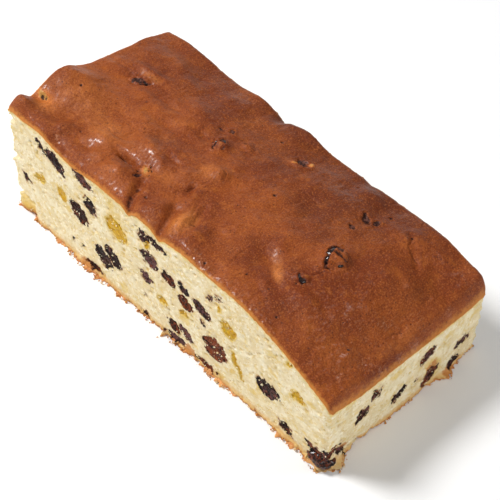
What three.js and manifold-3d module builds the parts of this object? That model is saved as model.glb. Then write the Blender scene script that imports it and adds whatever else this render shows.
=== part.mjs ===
// A slab of light fruit cake, cut on all four sides out of a sheet. The pale crumb has a humped,
// browned top crust and a thin, torn bottom crust, and raisins and cubes of candied peel show
// in the cut faces. The slab is one solid with a pocket for each fruit.
// Millimetres, +Z up. The origin is the middle of the base, +X runs to the low end of the slab
// and -Y to its front, the long cut face that shows the most fruit.
import * as THREE from "three";
import { mergeVertices } from "three/addons/utils/BufferGeometryUtils.js";
import Module from "manifold-3d";

const wasm = await Module();
wasm.setup();

// The slab between its cut faces.
const LENGTH = 200;
const WIDTH = 94;
const HALF_LENGTH = LENGTH / 2;
const HALF_WIDTH = WIDTH / 2;

// Heights of the top along its edges, from which it is blended.
const FRONT_HEIGHT = 60.5;
const BACK_HEIGHT = 51.5;
const BACK_EXTRA_LEFT = 3.5;
const CROWN = 4;
const END_HEIGHT = 31.8;
const END_FRONT_EXTRA = 6.8;
const DROOP_START_FRONT = 45;
const DROOP_START_BACK = 70;

// The roll of the crust over the cut edges: how far it falls, and over what distance.
const ROLL = 1.6;
const ROLL_REACH = 4;
const END_ROLL_BACK = 8;
const END_ROLL_REACH_BACK = 6.5;

// The bottom crust, a thin torn sheet that stands out past the crumb, and its outline's steps.
const SKIRT_HEIGHT = 1.5;
const SKIRT_REACH = 3;
const SKIRT_USUAL = 1.3;
const SKIRT_STEPS_LONG = 60;
const SKIRT_STEPS_WIDE = 28;

// The air gap round each fruit in its pocket.
const GAP = 0.35;

// Grid steps along and across the crust, and how much they crowd towards its edges.
const STEPS_LONG = 58;
const STEPS_WIDE = 28;
const CROWDING = 0.25;

// Humps (rise above 0) and hollows of the crust: x, y, radius along, radius across, turn, rise.
const HUMPS = [
  [-95, -42, 9, 6, 0, 4.6],
  [-95, -33, 7, 3.5, 15, -1.6],
  [-92, -17, 18, 11, 0, 6],
  [-88, 2, 9, 5, 0, -1.2],
  [-80, 31, 16, 11, 0, 1.4],
  [-77, 9, 7, 4, 32, -2],
  [-75, 15, 9, 3, 30, 1.1],
  [-79, -44, 12, 8, 0, 3.8],
  [-54, -46, 11, 8, 0, -1.6],
  [-44, -2, 19, 5, 0, -1.6],
  [-42, 13, 14, 8, 10, 1.6],
  [-36, -38, 12, 8, 12, 2.8],
  [-30, -27, 6, 4, 15, -1.4],
  [-10, -40, 9, 8, 0, 2.6],
  [0, -44, 5, 6, 0, -1],
  [16, -42, 10, 8, 0, 1.2],
  [-8, -5, 6, 6, 0, 1.4],
  [-21, 8, 5, 4, 0, 0.9],
  [43, -23, 11, 6, 70, -1.3],
  [58, -3, 7, 7, 0, 2],
  [56.7, -21.3, 5, 3.5, 40, 0.8],
  [70, 33, 10, 7, 30, 1.6],
  [77, 8, 5, 5, 0, 0.9],
  [86, 27, 7, 5, 0, -0.9],
  [93, -21, 6, 6, 0, -0.8],
  [7, 30, 7, 4, 40, -1],
  [-83, 46, 14, 6, 0, 2.4],
  [-69, 46, 6, 6, 0, 1.3],
  [95, 44, 7, 6, 0, 3],
  [-35, 46, 9, 6, 0, 1.8],
  [-20, 47, 4, 6, 0, -2.4],
  [-5, 46, 9, 6, 0, 2.6],
  [33, 47, 4, 5, 0, -1.8],
  [-98, 33, 6, 8, 0, 1],
];

// Folds where the rising crust met itself: start x, y, end x, y, depth, half width.
const FOLDS = [
  [-19, -47, -25, -32, 2.4, 2.4],
  [0, -47, -5, -32, 2, 2.2],
  [67, 33, 79, 24, 1, 2],
  [8, -35, 3, -23, 0.9, 2],
];

// Where the skirt stands out more or less: place along the side, half width, extra reach.
const SKIRT_FRONT = [
  [-50, 13, 2],
  [80, 8, 1.9],
  [3, 4, -2.6],
  [-93, 6, -1],
  [40, 12, 0.8],
];
const SKIRT_RIGHT = [
  [-39, 6, 1.6],
  [-22, 10, -3],
  [11, 6, -2.4],
  [25, 7, 4],
  [42, 9, -1.4],
];
const SKIRT_BACK = [
  [-60, 9, 1.9],
  [-15, 5, -2.2],
  [30, 14, 2],
  [77, 5, -1.8],
];
const SKIRT_LEFT = [
  [-40, 6, 2],
  [-8, 6, -2],
  [24, 9, 2.1],
];

// The crumb that bulges out at the foot of the low front corner, as a flattened ball: x, y, z,
// radius along, across and up. The places where the slab is torn away are given alike.
const FOOT = [97.6, -38.5, 1, 5.2, 8, 6.5];
const BITES = [
  [-104, -51, 0, 17, 11, 5],
  [-101, -48, 57, 2.6, 2.4, 3.5],
  [-101, -48, 45, 2.2, 2.4, 2.6],
  [-101, -48, 34, 2, 1.8, 3],
  [3, -49, 0, 4, 3.4, 3.2],
  [103, -24, 0, 7, 7, 7],
  [103, 11, 0, 4, 4.5, 3.4],
  [101, 48, 14, 2.2, 2.2, 3],
  [-101, 48, 25, 2.4, 2.4, 4],
];

// Fruit in a cut face: place along the face, height, length, width, turn. Peel is more angular.
const RAISINS_FRONT = [
  [-77.2, 54, 8, 4, -40],
  [-67.2, 51.7, 13, 6.5, -34],
  [-48, 54.5, 13, 5, -14],
  [-53, 32, 13, 8, -38],
  [-44, 42, 9, 5.5, -44],
  [-36.5, 15.2, 13.5, 8.2, -43],
  [-30, 20.8, 11.5, 6, -36],
  [-44, 3.8, 11, 4.6, 5],
  [-9, 51, 6, 5, -20],
  [0, 53, 11, 4.5, -7],
  [-5, 40, 11, 7, -14],
  [-8, 27, 8, 6.5, -15],
  [7, 38, 7.5, 6, -35],
  [16, 39, 6.5, 5, -25],
  [17, 31, 9, 4.5, -20],
  [27, 36, 10.5, 5.5, -17],
  [9.4, 9.8, 7.5, 5, -25],
  [17.6, 11.6, 8.5, 4.6, -30],
  [11.2, 3.6, 12, 4.4, 4],
  [35.5, 17.6, 14, 11, -20],
  [31, 2.7, 10.5, 3.2, -8],
  [67.2, 21, 12.5, 8.5, -8],
  [78, 6.5, 7, 5, -20],
];
const PEEL_FRONT = [
  [-80, 33, 8, 3.4, 15],
  [-64, 34, 7, 5, -68],
  [-27, 41, 15, 9, -26],
  [43, 37, 9, 7, -30],
  [49, 19.5, 15, 3, -62],
  [83, 32, 7, 4.5, -10],
];
const RAISINS_RIGHT = [
  [-27, 19, 8.5, 4.5, 38],
  [-18.8, 24.8, 6.5, 4.5, 36],
  [-3.5, 11.5, 8.5, 4.5, 35],
  [16.5, 7.5, 12, 6.5, 42],
  [12.6, 24.2, 9, 4.5, 46],
  [35.5, 14.6, 8, 4.6, 35],
  [31, 4.2, 8, 4, 0],
];

// Raisins that lie flat: a glossy one that hangs out under the low front corner, one that both
// cut faces slice there, and those that break through the crust. Each is x, y, height of the
// middle (for the crust, above the crust), length, width, thickness, turn.
const RAISIN_UNDER_CORNER = [96.6, -44.5, 3.9, 12.2, 10.4, 5.8, 10];
const RAISIN_ROUND_CORNER = [95.5, -42.5, 9.8, 15, 11, 4.8, 40];
const RAISINS_TOP = [
  [-77, 9, -1.2, 10, 5, 5, 32],
  [-30, -28, -1.4, 8, 5, 5, 12],
  [-21.5, 8, -1.6, 8, 6, 5.5, 0],
  [7, 30, -1.9, 9.5, 5, 5, 42],
  [58, -3, -2.3, 12, 11, 7, 0],
  [56.7, -21.3, -1.8, 8, 5, 5, 40],
];

// The faces turned away hold fruit scattered by rule: how many, and which of them are peel.
const SCATTER_SEED = 7;
const BACK_FRUIT = { columns: 5, rows: 2, peelEvery: 4 };
const LEFT_FRUIT = { columns: 5, rows: 1, peelEvery: 3 };
const SCATTER_LENGTH = [8, 14];
const SCATTER_SLIMNESS = [0.4, 0.62];

const COLOURS = {
  cake: { color: 0xe9d9a6, roughness: 0.85, metalness: 0 },
  raisin: { color: 0x3a2526, roughness: 0.5, metalness: 0 },
  peel: { color: 0xb9a437, roughness: 0.4, metalness: 0 },
};

const clamp01 = (value) => Math.min(Math.max(value, 0), 1);
const smooth = (value) => clamp01(value) ** 2 * (3 - 2 * clamp01(value));
const mix = (from, to, part) => from + (to - from) * part;
const bell = (value) => Math.exp(-1.5 * value * value);

// Sum of bell-shaped bumps [place, half width, height] along one line.
function bumps(list, place) {
  return list.reduce((sum, [at, half, height]) => sum + height * bell((place - at) / half), 0);
}

// Distance from a point to a fold's line.
function distanceToFold(x, y, [x0, y0, x1, y1]) {
  const dx = x1 - x0;
  const dy = y1 - y0;
  const part = clamp01(((x - x0) * dx + (y - y0) * dy) / (dx * dx + dy * dy));
  return Math.hypot(x - x0 - part * dx, y - y0 - part * dy);
}

// The top without its rolled edges: blended from front to back, with a crown between them and
// a droop towards the low end, plus its humps and folds.
function crustHeight(x, y) {
  const back = (y / HALF_WIDTH + 1) / 2;
  const level =
    mix(FRONT_HEIGHT, BACK_HEIGHT + BACK_EXTRA_LEFT * smooth((20 - x) / 120), back) +
    CROWN * 4 * back * (1 - back);
  const low = END_HEIGHT + END_FRONT_EXTRA * smooth((-5 - y) / 42) + mix(ROLL, END_ROLL_BACK, back);
  const start = mix(DROOP_START_FRONT, DROOP_START_BACK, back);
  const droop = clamp01((x - start) / (HALF_LENGTH - start)) ** mix(1.5, 1.7, back);
  let height = mix(level, low, droop);
  for (const [hx, hy, along, across, turn, rise] of HUMPS) {
    const angle = THREE.MathUtils.degToRad(turn);
    const a = ((x - hx) * Math.cos(angle) + (y - hy) * Math.sin(angle)) / along;
    const b = ((y - hy) * Math.cos(angle) - (x - hx) * Math.sin(angle)) / across;
    height += rise * bell(Math.hypot(a, b));
  }
  for (const fold of FOLDS) height -= fold[4] * bell(distanceToFold(x, y, fold) / fold[5]);
  return height;
}

// How much the rolled edge falls at a distance in from a cut face.
const rollDrop = (inset, fall, reach) => fall * clamp01(1 - inset / reach) ** 2;

function topHeight(x, y) {
  const back = (y / HALF_WIDTH + 1) / 2;
  return (
    crustHeight(x, y) -
    rollDrop(HALF_WIDTH - Math.abs(y), ROLL, ROLL_REACH) -
    rollDrop(HALF_LENGTH + x, ROLL, ROLL_REACH) -
    rollDrop(HALF_LENGTH - x, mix(ROLL, END_ROLL_BACK, back), mix(ROLL_REACH, END_ROLL_REACH_BACK, back))
  );
}

// How far the skirt stands out at a place along a side, from that side's list of bumps.
function skirtReach(list, place) {
  const ripple = 0.35 * Math.sin(place / 2.3) + 0.3 * Math.sin(place / 5.1 + 1);
  return Math.min(SKIRT_USUAL + bumps(list, place) + ripple, SKIRT_REACH);
}

// Turns a closed three.js geometry into a solid.
function toSolid(geometry) {
  geometry.deleteAttribute("normal");
  geometry.deleteAttribute("uv");
  const merged = mergeVertices(geometry, 1e-4);
  return new wasm.Manifold(
    new wasm.Mesh({
      numProp: 3,
      vertProperties: merged.attributes.position.array,
      triVerts: new Uint32Array(merged.index.array),
    }),
  );
}

const ballSolid = ([x, y, z, ...radii]) =>
  toSolid(new THREE.IcosahedronGeometry(1, 1).scale(...radii).translate(x, y, z));

// A plain box that stands on the base and holds the whole slab.
const aboveBase = () =>
  toSolid(new THREE.BoxGeometry(2 * LENGTH, 2 * WIDTH, LENGTH).translate(0, 0, HALF_LENGTH));

// The crumb and its top crust: a box whose top grid is moved onto the crust. Its bottom grid
// lies below the base, where a plain box cuts it off flat.
function blockSolid() {
  const geometry = new THREE.BoxGeometry(2, 2, 2, STEPS_LONG, STEPS_WIDE, 1);
  const position = geometry.attributes.position;
  const crowd = (value) => value * (1 + CROWDING * (1 - value * value));
  for (let i = 0; i < position.count; i += 1) {
    const x = crowd(position.getX(i)) * HALF_LENGTH;
    const y = crowd(position.getY(i)) * HALF_WIDTH;
    position.setXYZ(i, x, y, position.getZ(i) > 0 ? topHeight(x, y) : -1);
  }
  return toSolid(geometry).intersect(aboveBase());
}

// The bottom crust: a ragged outline round the slab, as thick as the skirt.
function skirtSolid() {
  const points = [];
  const side = (steps, half, list, place) => {
    for (let i = 0; i < steps; i += 1) {
      const along = mix(-half, half, i / steps);
      points.push(place(along, skirtReach(list, along)));
    }
  };
  const point = (x, y) => new THREE.Vector2(x, y);
  side(SKIRT_STEPS_LONG, HALF_LENGTH, SKIRT_FRONT, (s, out) => point(s, -HALF_WIDTH - out));
  side(SKIRT_STEPS_WIDE, HALF_WIDTH, SKIRT_RIGHT, (s, out) => point(HALF_LENGTH + out, s));
  side(SKIRT_STEPS_LONG, HALF_LENGTH, SKIRT_BACK, (s, out) => point(-s, HALF_WIDTH + out));
  side(SKIRT_STEPS_WIDE, HALF_WIDTH, SKIRT_LEFT, (s, out) => point(-HALF_LENGTH - out, -s));
  const outline = new THREE.Shape(points);
  return toSolid(new THREE.ExtrudeGeometry(outline, { depth: SKIRT_HEIGHT, bevelEnabled: false }));
}

// The slab before its fruit, with the places where it is torn away.
function slabSolid(block) {
  const whole = block.add(skirtSolid()).add(ballSolid(FOOT).intersect(aboveBase()));
  return BITES.reduce((slab, bite) => slab.subtract(ballSolid(bite)), whole);
}

// A fruit about its own middle: a ball whose radius is lumpy, squarer for peel, then scaled to
// its half sizes along x, y and z. The same phase gives the same lumps.
function fruitSolid(kind, half, phase, matrix) {
  const geometry = new THREE.IcosahedronGeometry(1, 1);
  const position = geometry.attributes.position;
  const power = kind === "peel" ? 4 : 2;
  const lump = kind === "peel" ? 0.04 : 0.1;
  const point = new THREE.Vector3();
  for (let i = 0; i < position.count; i += 1) {
    point.fromBufferAttribute(position, i);
    const { x, y, z } = point;
    const square = (Math.abs(x) ** power + Math.abs(y) ** power + Math.abs(z) ** power) ** (-1 / power);
    const wrinkle = lump * Math.sin(4 * x + phase) * Math.cos(3 * y + 2 * z + 2 * phase);
    point.multiplyScalar(square * (1 - lump / 2 + wrinkle)).multiply(half);
    position.setXYZ(i, point.x, point.y, point.z);
  }
  geometry.applyMatrix4(matrix);
  return toSolid(geometry);
}

// Axes of a fruit: its middle, the way its length points and the way its width points.
function placing(middle, alongDirection, acrossDirection) {
  const outward = new THREE.Vector3().crossVectors(alongDirection, acrossDirection);
  const matrix = new THREE.Matrix4().makeBasis(alongDirection, acrossDirection, outward);
  return matrix.setPosition(middle);
}

// The faces that fruit is set in: the level way along each, and its points at a place and height.
const ALONG_X = new THREE.Vector3(1, 0, 0);
const ALONG_Y = new THREE.Vector3(0, 1, 0);
const UP = new THREE.Vector3(0, 0, 1);
const FACES = {
  front: { level: ALONG_X, at: (place, z) => new THREE.Vector3(place, -HALF_WIDTH, z) },
  right: { level: ALONG_Y, at: (place, z) => new THREE.Vector3(HALF_LENGTH, place, z) },
  back: { level: ALONG_X, at: (place, z) => new THREE.Vector3(place, HALF_WIDTH, z) },
  left: { level: ALONG_Y, at: (place, z) => new THREE.Vector3(-HALF_LENGTH, place, z) },
};

// A fruit cut through by a face: [place along the face, height, length, width, turn].
function cutFruit(face, kind, [along, height, length, width, turn]) {
  const angle = THREE.MathUtils.degToRad(turn);
  const { level, at } = FACES[face];
  const lengthWay = level.clone().multiplyScalar(Math.cos(angle)).addScaledVector(UP, Math.sin(angle));
  const widthWay = level.clone().multiplyScalar(-Math.sin(angle)).addScaledVector(UP, Math.cos(angle));
  return {
    name: face,
    kind,
    whole: false,
    half: new THREE.Vector3(length / 2, width / 2, width / 2),
    matrix: placing(at(along, height), lengthWay, widthWay),
  };
}

// A fruit left whole, lying flat: [x, y, middle height, length, width, thickness, turn].
function wholeRaisin(name, [x, y, z, length, width, thickness, turn], ground) {
  const angle = THREE.MathUtils.degToRad(turn);
  const lengthWay = new THREE.Vector3(Math.cos(angle), Math.sin(angle), 0);
  const widthWay = new THREE.Vector3(-Math.sin(angle), Math.cos(angle), 0);
  return {
    name,
    kind: "raisin",
    whole: true,
    half: new THREE.Vector3(length / 2, width / 2, thickness / 2),
    matrix: placing(new THREE.Vector3(x, y, ground + z), lengthWay, widthWay),
  };
}

// A seeded draw between 0 and 1.
function draws(seed) {
  let state = seed;
  return () => {
    state = (state * 1664525 + 1013904223) % 4294967296;
    return state / 4294967296;
  };
}

// Fruit over a face that is turned away: one piece in each cell of a loose grid.
function scatteredFruit(face, halfSpan, top, { columns, rows, peelEvery }, draw) {
  const list = [];
  for (let column = 0; column < columns; column += 1) {
    for (let row = 0; row < rows; row += 1) {
      const length = mix(...SCATTER_LENGTH, draw());
      const width = length * mix(...SCATTER_SLIMNESS, draw());
      const along = halfSpan * (((column + 0.5 + 0.5 * (draw() - 0.5)) / columns) * 2 - 1);
      const height = top * ((row + 0.5 + 0.55 * (draw() - 0.5)) / rows);
      const kind = (column + 2 * row) % peelEvery === 1 ? "peel" : "raisin";
      list.push(cutFruit(face, kind, [along, height, length, width, mix(-45, 45, draw())]));
    }
  }
  return list;
}

function allFruit() {
  const draw = draws(SCATTER_SEED);
  return [
    ...RAISINS_FRONT.map((row) => cutFruit("front", "raisin", row)),
    ...PEEL_FRONT.map((row) => cutFruit("front", "peel", row)),
    ...RAISINS_RIGHT.map((row) => cutFruit("right", "raisin", row)),
    wholeRaisin("corner", RAISIN_UNDER_CORNER, 0),
    { ...wholeRaisin("corner", RAISIN_ROUND_CORNER, 0), whole: false },
    ...RAISINS_TOP.map((row) => wholeRaisin("top", row, topHeight(row[0], row[1]))),
    ...scatteredFruit("back", HALF_LENGTH - 6, 44, BACK_FRUIT, draw),
    ...scatteredFruit("left", HALF_WIDTH - 5, 50, LEFT_FRUIT, draw),
  ];
}

// A named mesh of a solid, with its own middle as its place.
function toMesh(solid, name, material) {
  const { vertProperties, triVerts } = solid.getMesh();
  const geometry = new THREE.BufferGeometry()
    .setAttribute("position", new THREE.BufferAttribute(vertProperties, 3))
    .setIndex(new THREE.BufferAttribute(triVerts, 1));
  geometry.computeBoundingBox();
  const middle = geometry.boundingBox.getCenter(new THREE.Vector3());
  geometry.translate(-middle.x, -middle.y, -middle.z);
  geometry.computeVertexNormals();
  const mesh = new THREE.Mesh(geometry, material);
  mesh.name = name;
  mesh.position.copy(middle);
  return mesh;
}

const materials = Object.fromEntries(
  Object.entries(COLOURS).map(([name, look]) => [name, new THREE.MeshStandardMaterial(look)]),
);

const slab = new THREE.Group();
const fruitGroup = new THREE.Group();
slab.add(fruitGroup);

const block = blockSolid();
let cake = slabSolid(block);
const counts = {};
allFruit().forEach(({ name, kind, whole, half, matrix }, index) => {
  const label = kind + "_" + name;
  counts[label] = (counts[label] ?? 0) + 1;
  const wide = half.clone().addScalar(GAP);
  cake = cake.subtract(fruitSolid(kind, wide, index, matrix));
  const piece = fruitSolid(kind, half, index, matrix);
  const number = String(counts[label]).padStart(2, "0");
  fruitGroup.add(toMesh(whole ? piece : piece.intersect(block), label + "_" + number, materials[kind]));
});
slab.add(toMesh(cake, "cake", materials.cake));

export default slab;
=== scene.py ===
"""A slab of light fruit cake, cut on four sides: bottom crust, crumb, top crust, raisins and peel.

Shapes are worked out in millimetres and put into the meshes in metres. The origin is the middle
of the base, +X runs to the low end of the slab and -Y to its front, the long face.
"""
import math

import bpy
import numpy as np
from mathutils import Matrix


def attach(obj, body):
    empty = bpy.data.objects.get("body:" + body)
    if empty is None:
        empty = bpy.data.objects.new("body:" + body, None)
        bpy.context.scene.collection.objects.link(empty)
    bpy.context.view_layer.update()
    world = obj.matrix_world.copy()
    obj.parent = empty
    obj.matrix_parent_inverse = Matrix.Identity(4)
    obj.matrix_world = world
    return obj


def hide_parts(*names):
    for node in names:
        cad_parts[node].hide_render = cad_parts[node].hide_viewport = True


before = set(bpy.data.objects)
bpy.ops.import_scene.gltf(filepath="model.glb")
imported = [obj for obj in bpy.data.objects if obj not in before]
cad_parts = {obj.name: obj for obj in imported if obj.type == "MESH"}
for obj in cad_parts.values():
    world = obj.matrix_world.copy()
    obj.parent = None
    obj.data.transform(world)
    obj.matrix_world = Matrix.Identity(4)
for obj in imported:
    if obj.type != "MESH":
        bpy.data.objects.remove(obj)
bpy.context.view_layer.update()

# ---------------------------------------------------------------------------------------------
# The camera and the studio. A long lens looks down at the front right corner of the slab. Four soft
# lights stand round it, the key light at the left of the camera, a white room fills in the rest,
# and the slab lies on a pale floor.
CAMERA_PLACE = (291.615, -289.615, 462.789)
CAMERA_RIGHT = (0.68894, 0.72415, 0.03110)
CAMERA_UP = (-0.54793, 0.49224, 0.67636)
CAMERA_BACK = (0.47448, -0.48301, 0.73591)
LENS_MM = 98.34

camera = bpy.data.objects.new("camera", bpy.data.cameras.new("camera"))
bpy.context.scene.collection.objects.link(camera)
camera.data.lens = LENS_MM
camera.data.sensor_width = 36
camera.data.clip_end = 20
turn = Matrix((CAMERA_RIGHT, CAMERA_UP, CAMERA_BACK)).transposed().to_4x4()
camera.matrix_world = Matrix.Translation([v / 1000 for v in CAMERA_PLACE]) @ turn
bpy.context.scene.camera = camera


def soft_light(name, towards_light, distance, size, power):
    """A white, round area light at a distance, in metres, in a direction from the slab. It faces
    the slab."""
    lamp = bpy.data.lights.new(name, "AREA")
    lamp.shape = "DISK"
    lamp.size = size
    lamp.energy = power
    stand = bpy.data.objects.new(name, lamp)
    bpy.context.scene.collection.objects.link(stand)
    back = np.array(towards_light) / np.linalg.norm(towards_light)
    side = np.cross((0, 0, 1), back)
    side /= np.linalg.norm(side)
    facing = Matrix((side, np.cross(back, side), back)).transposed().to_4x4()
    stand.matrix_world = Matrix.Translation(back * distance) @ facing


soft_light("key_light", (-0.52, -0.32, 0.78), 1.3, 0.4, 16.0)
soft_light("side_light", (0.95, -0.35, 0.3), 1.5, 0.8, 7.2)
soft_light("far_light", (0.27, 0.42, 0.87), 1.4, 0.35, 2.4)
soft_light("back_light", (-0.62, 0.72, 0.28), 1.6, 1.2, 2.6)

room = bpy.data.worlds.new("white_room")
room.use_nodes = True
room.node_tree.nodes["Background"].inputs["Color"].default_value = (1.0, 1.0, 1.0, 1.0)
room.node_tree.nodes["Background"].inputs["Strength"].default_value = 0.2
bpy.context.scene.world = room
bpy.context.scene.view_settings.view_transform = "Standard"
bpy.context.scene.view_settings.look = "None"


def linear(red, green, blue):
    """A colour as screens give it, 0 to 255, as the linear colour that a shader takes."""
    parts = np.array((red, green, blue)) / 255
    lifted = np.where(parts < 0.04045, parts / 12.92, ((parts + 0.055) / 1.055) ** 2.4)
    return (*lifted.tolist(), 1.0)


class Field:
    """A varying number in a material: a socket with arithmetic, each step being a Math node."""

    def __init__(self, finish, socket):
        self.finish, self.socket = finish, socket

    def math(self, operation, *others):
        sockets = dict(enumerate((self, *others)))
        return self.finish.node("ShaderNodeMath", {"operation": operation}, sockets)

    def __add__(self, other):
        return self.math("ADD", other)

    def __mul__(self, other):
        return self.math("MULTIPLY", other)

    def __sub__(self, other):
        return self.math("SUBTRACT", other)

    def __rsub__(self, other):
        return self.math("MULTIPLY_ADD", -1.0, other)

    __radd__, __rmul__ = __add__, __mul__

    def ramp(self, low, high):
        """0 below low, 1 above high, and a smooth step between; low may be the larger."""
        settings = {"interpolation_type": "SMOOTHSTEP", "clamp": True}
        return self.finish.node(
            "ShaderNodeMapRange", settings, {0: self, 1: float(low), 2: float(high), 3: 0.0, 4: 1.0}
        )


class Finish:
    """A material in the making. Its shader's constants are set first; node() adds all the rest."""

    def __init__(self, name, **constants):
        self.material = bpy.data.materials.new(name)
        self.material.use_nodes = True
        self.tree = self.material.node_tree
        self.shader = self.tree.nodes["Principled BSDF"]
        for socket, value in constants.items():
            self.shader.inputs[socket.replace("_", " ")].default_value = value

    def node(self, kind, settings=None, sockets=None, out=0):
        """One node of a type: its settings, then the values or links of its sockets."""
        made = self.tree.nodes.new(kind)
        for key, value in (settings or {}).items():
            setattr(made, key, value)
        for key, value in (sockets or {}).items():
            if isinstance(value, Field):
                self.tree.links.new(value.socket, made.inputs[key])
            else:
                made.inputs[key].default_value = value
        return Field(self, made.outputs[out])

    def place(self, stretch=(1.0, 1.0, 1.0)):
        """The point on the piece, in its own coordinates, in millimetres, stretched."""
        point = self.node("ShaderNodeTexCoord", out=3)
        scale = tuple(1000.0 * s for s in stretch)
        return self.node("ShaderNodeVectorMath", {"operation": "MULTIPLY"}, {0: point, 1: scale})

    def grain(self, size, detail=2.0, rough=0.5, stretch=(1.0, 1.0, 1.0)):
        """Soft noise of about 0.5 with spots of a size in millimetres."""
        sockets = {"Vector": self.place(stretch), "Scale": 1 / size, "Detail": detail,
                   "Roughness": rough}
        return self.node("ShaderNodeTexNoise", {}, sockets)

    def cells(self, size, stretch=(1.0, 1.0, 1.0)):
        """The distance to the nearest of scattered points, in sizes of one cell."""
        sockets = {"Vector": self.place(stretch), "Scale": 1 / size}
        return self.node("ShaderNodeTexVoronoi", {"feature": "F1"}, sockets)

    def attribute(self, name):
        """A number kept at each corner of the mesh."""
        return self.node("ShaderNodeAttribute", {"attribute_name": name}, out=2)

    def blend(self, factor, first, second):
        """The first colour where the factor is 0 and the second where it is 1."""
        colours = {0: factor, 6: first, 7: second}
        return self.node("ShaderNodeMix", {"data_type": "RGBA"}, colours, out=2)

    def layers(self, colour, *overs):
        """A colour with others laid over it in turn. Each comes with its factor, which is 1 where
        it covers, and is a colour as screens give it or a field."""
        for factor, over in overs:
            colour = self.blend(factor, colour, over if isinstance(over, Field) else linear(*over))
        return colour

    def relief(self, height, distance, strength, under=None):
        """A normal that is tilted by a height of 0 to 1, for a relief of a depth in millimetres."""
        sockets = {"Height": height, "Distance": distance / 1000, "Strength": strength}
        if under is not None:
            sockets["Normal"] = under
        return self.node("ShaderNodeBump", {}, sockets)

    def put(self, **links):
        """Links fields to the shader's sockets."""
        for socket, value in links.items():
            self.tree.links.new(value.socket, self.shader.inputs[socket.replace("_", " ")])
        return self.material


floor_mesh = bpy.data.meshes.new("floor")
floor_mesh.from_pydata([(-4, -4, 0), (4, -4, 0), (4, 4, 0), (-4, 4, 0)], [], [(0, 1, 2, 3)])
floor = bpy.data.objects.new("floor", floor_mesh)
bpy.context.scene.collection.objects.link(floor)
pale = Finish("pale_floor", Base_Color=linear(246, 246, 246), Roughness=0.9)
floor_mesh.materials.append(pale.put(Base_Color=pale.blend(
    pale.grain(400.0), linear(250, 250, 250), linear(252, 252, 252))))

# ---------------------------------------------------------------------------------------------
# Where the fruit lies. Raisins and cubes of candied peel were stirred into the batter. The knife
# cut through those that lay in its way, so they end flat in a cut face. Each one's middle, axes
# and half sizes are read from its solid.
HALF_LONG, HALF_WIDE = 100.0, 47.0
TOUCH = 0.05    # a fruit that comes this near to a cut face ends in it
CUTS = {    # for each face, the axis it looks along and where it lies
    "front": (1, -HALF_WIDE), "right": (0, HALF_LONG),
    "back": (1, HALF_WIDE), "left": (0, -HALF_LONG),
}


def corners_of(node):
    """The corners of a solid, in millimetres."""
    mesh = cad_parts[node].data
    flat = np.empty(len(mesh.vertices) * 3)
    mesh.vertices.foreach_get("co", flat)
    return flat.reshape(-1, 3) * 1000


def read_fruit(node):
    """A fruit as an ellipsoid. The half that the knife left is mirrored in the cut face, the axes
    are the main directions of the whole, and the half sizes are the furthest reach along each."""
    points = corners_of(node)
    faces = [f for f, (axis, at) in CUTS.items() if np.abs(points[:, axis] - at).min() < TOUCH]
    if len(faces) == 1:
        axis, at = CUTS[faces[0]]
        mirrored = points.copy()
        mirrored[:, axis] = 2 * at - mirrored[:, axis]
        points = np.vstack((points, mirrored))
    middle = (points.max(0) + points.min(0)) / 2
    axes = np.linalg.svd(points - middle, full_matrices=False)[2]
    reach = np.abs((points - middle) @ axes.T).max(0)
    return {"node": node, "faces": faces, "middle": middle, "axes": axes, "half": reach}


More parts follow.
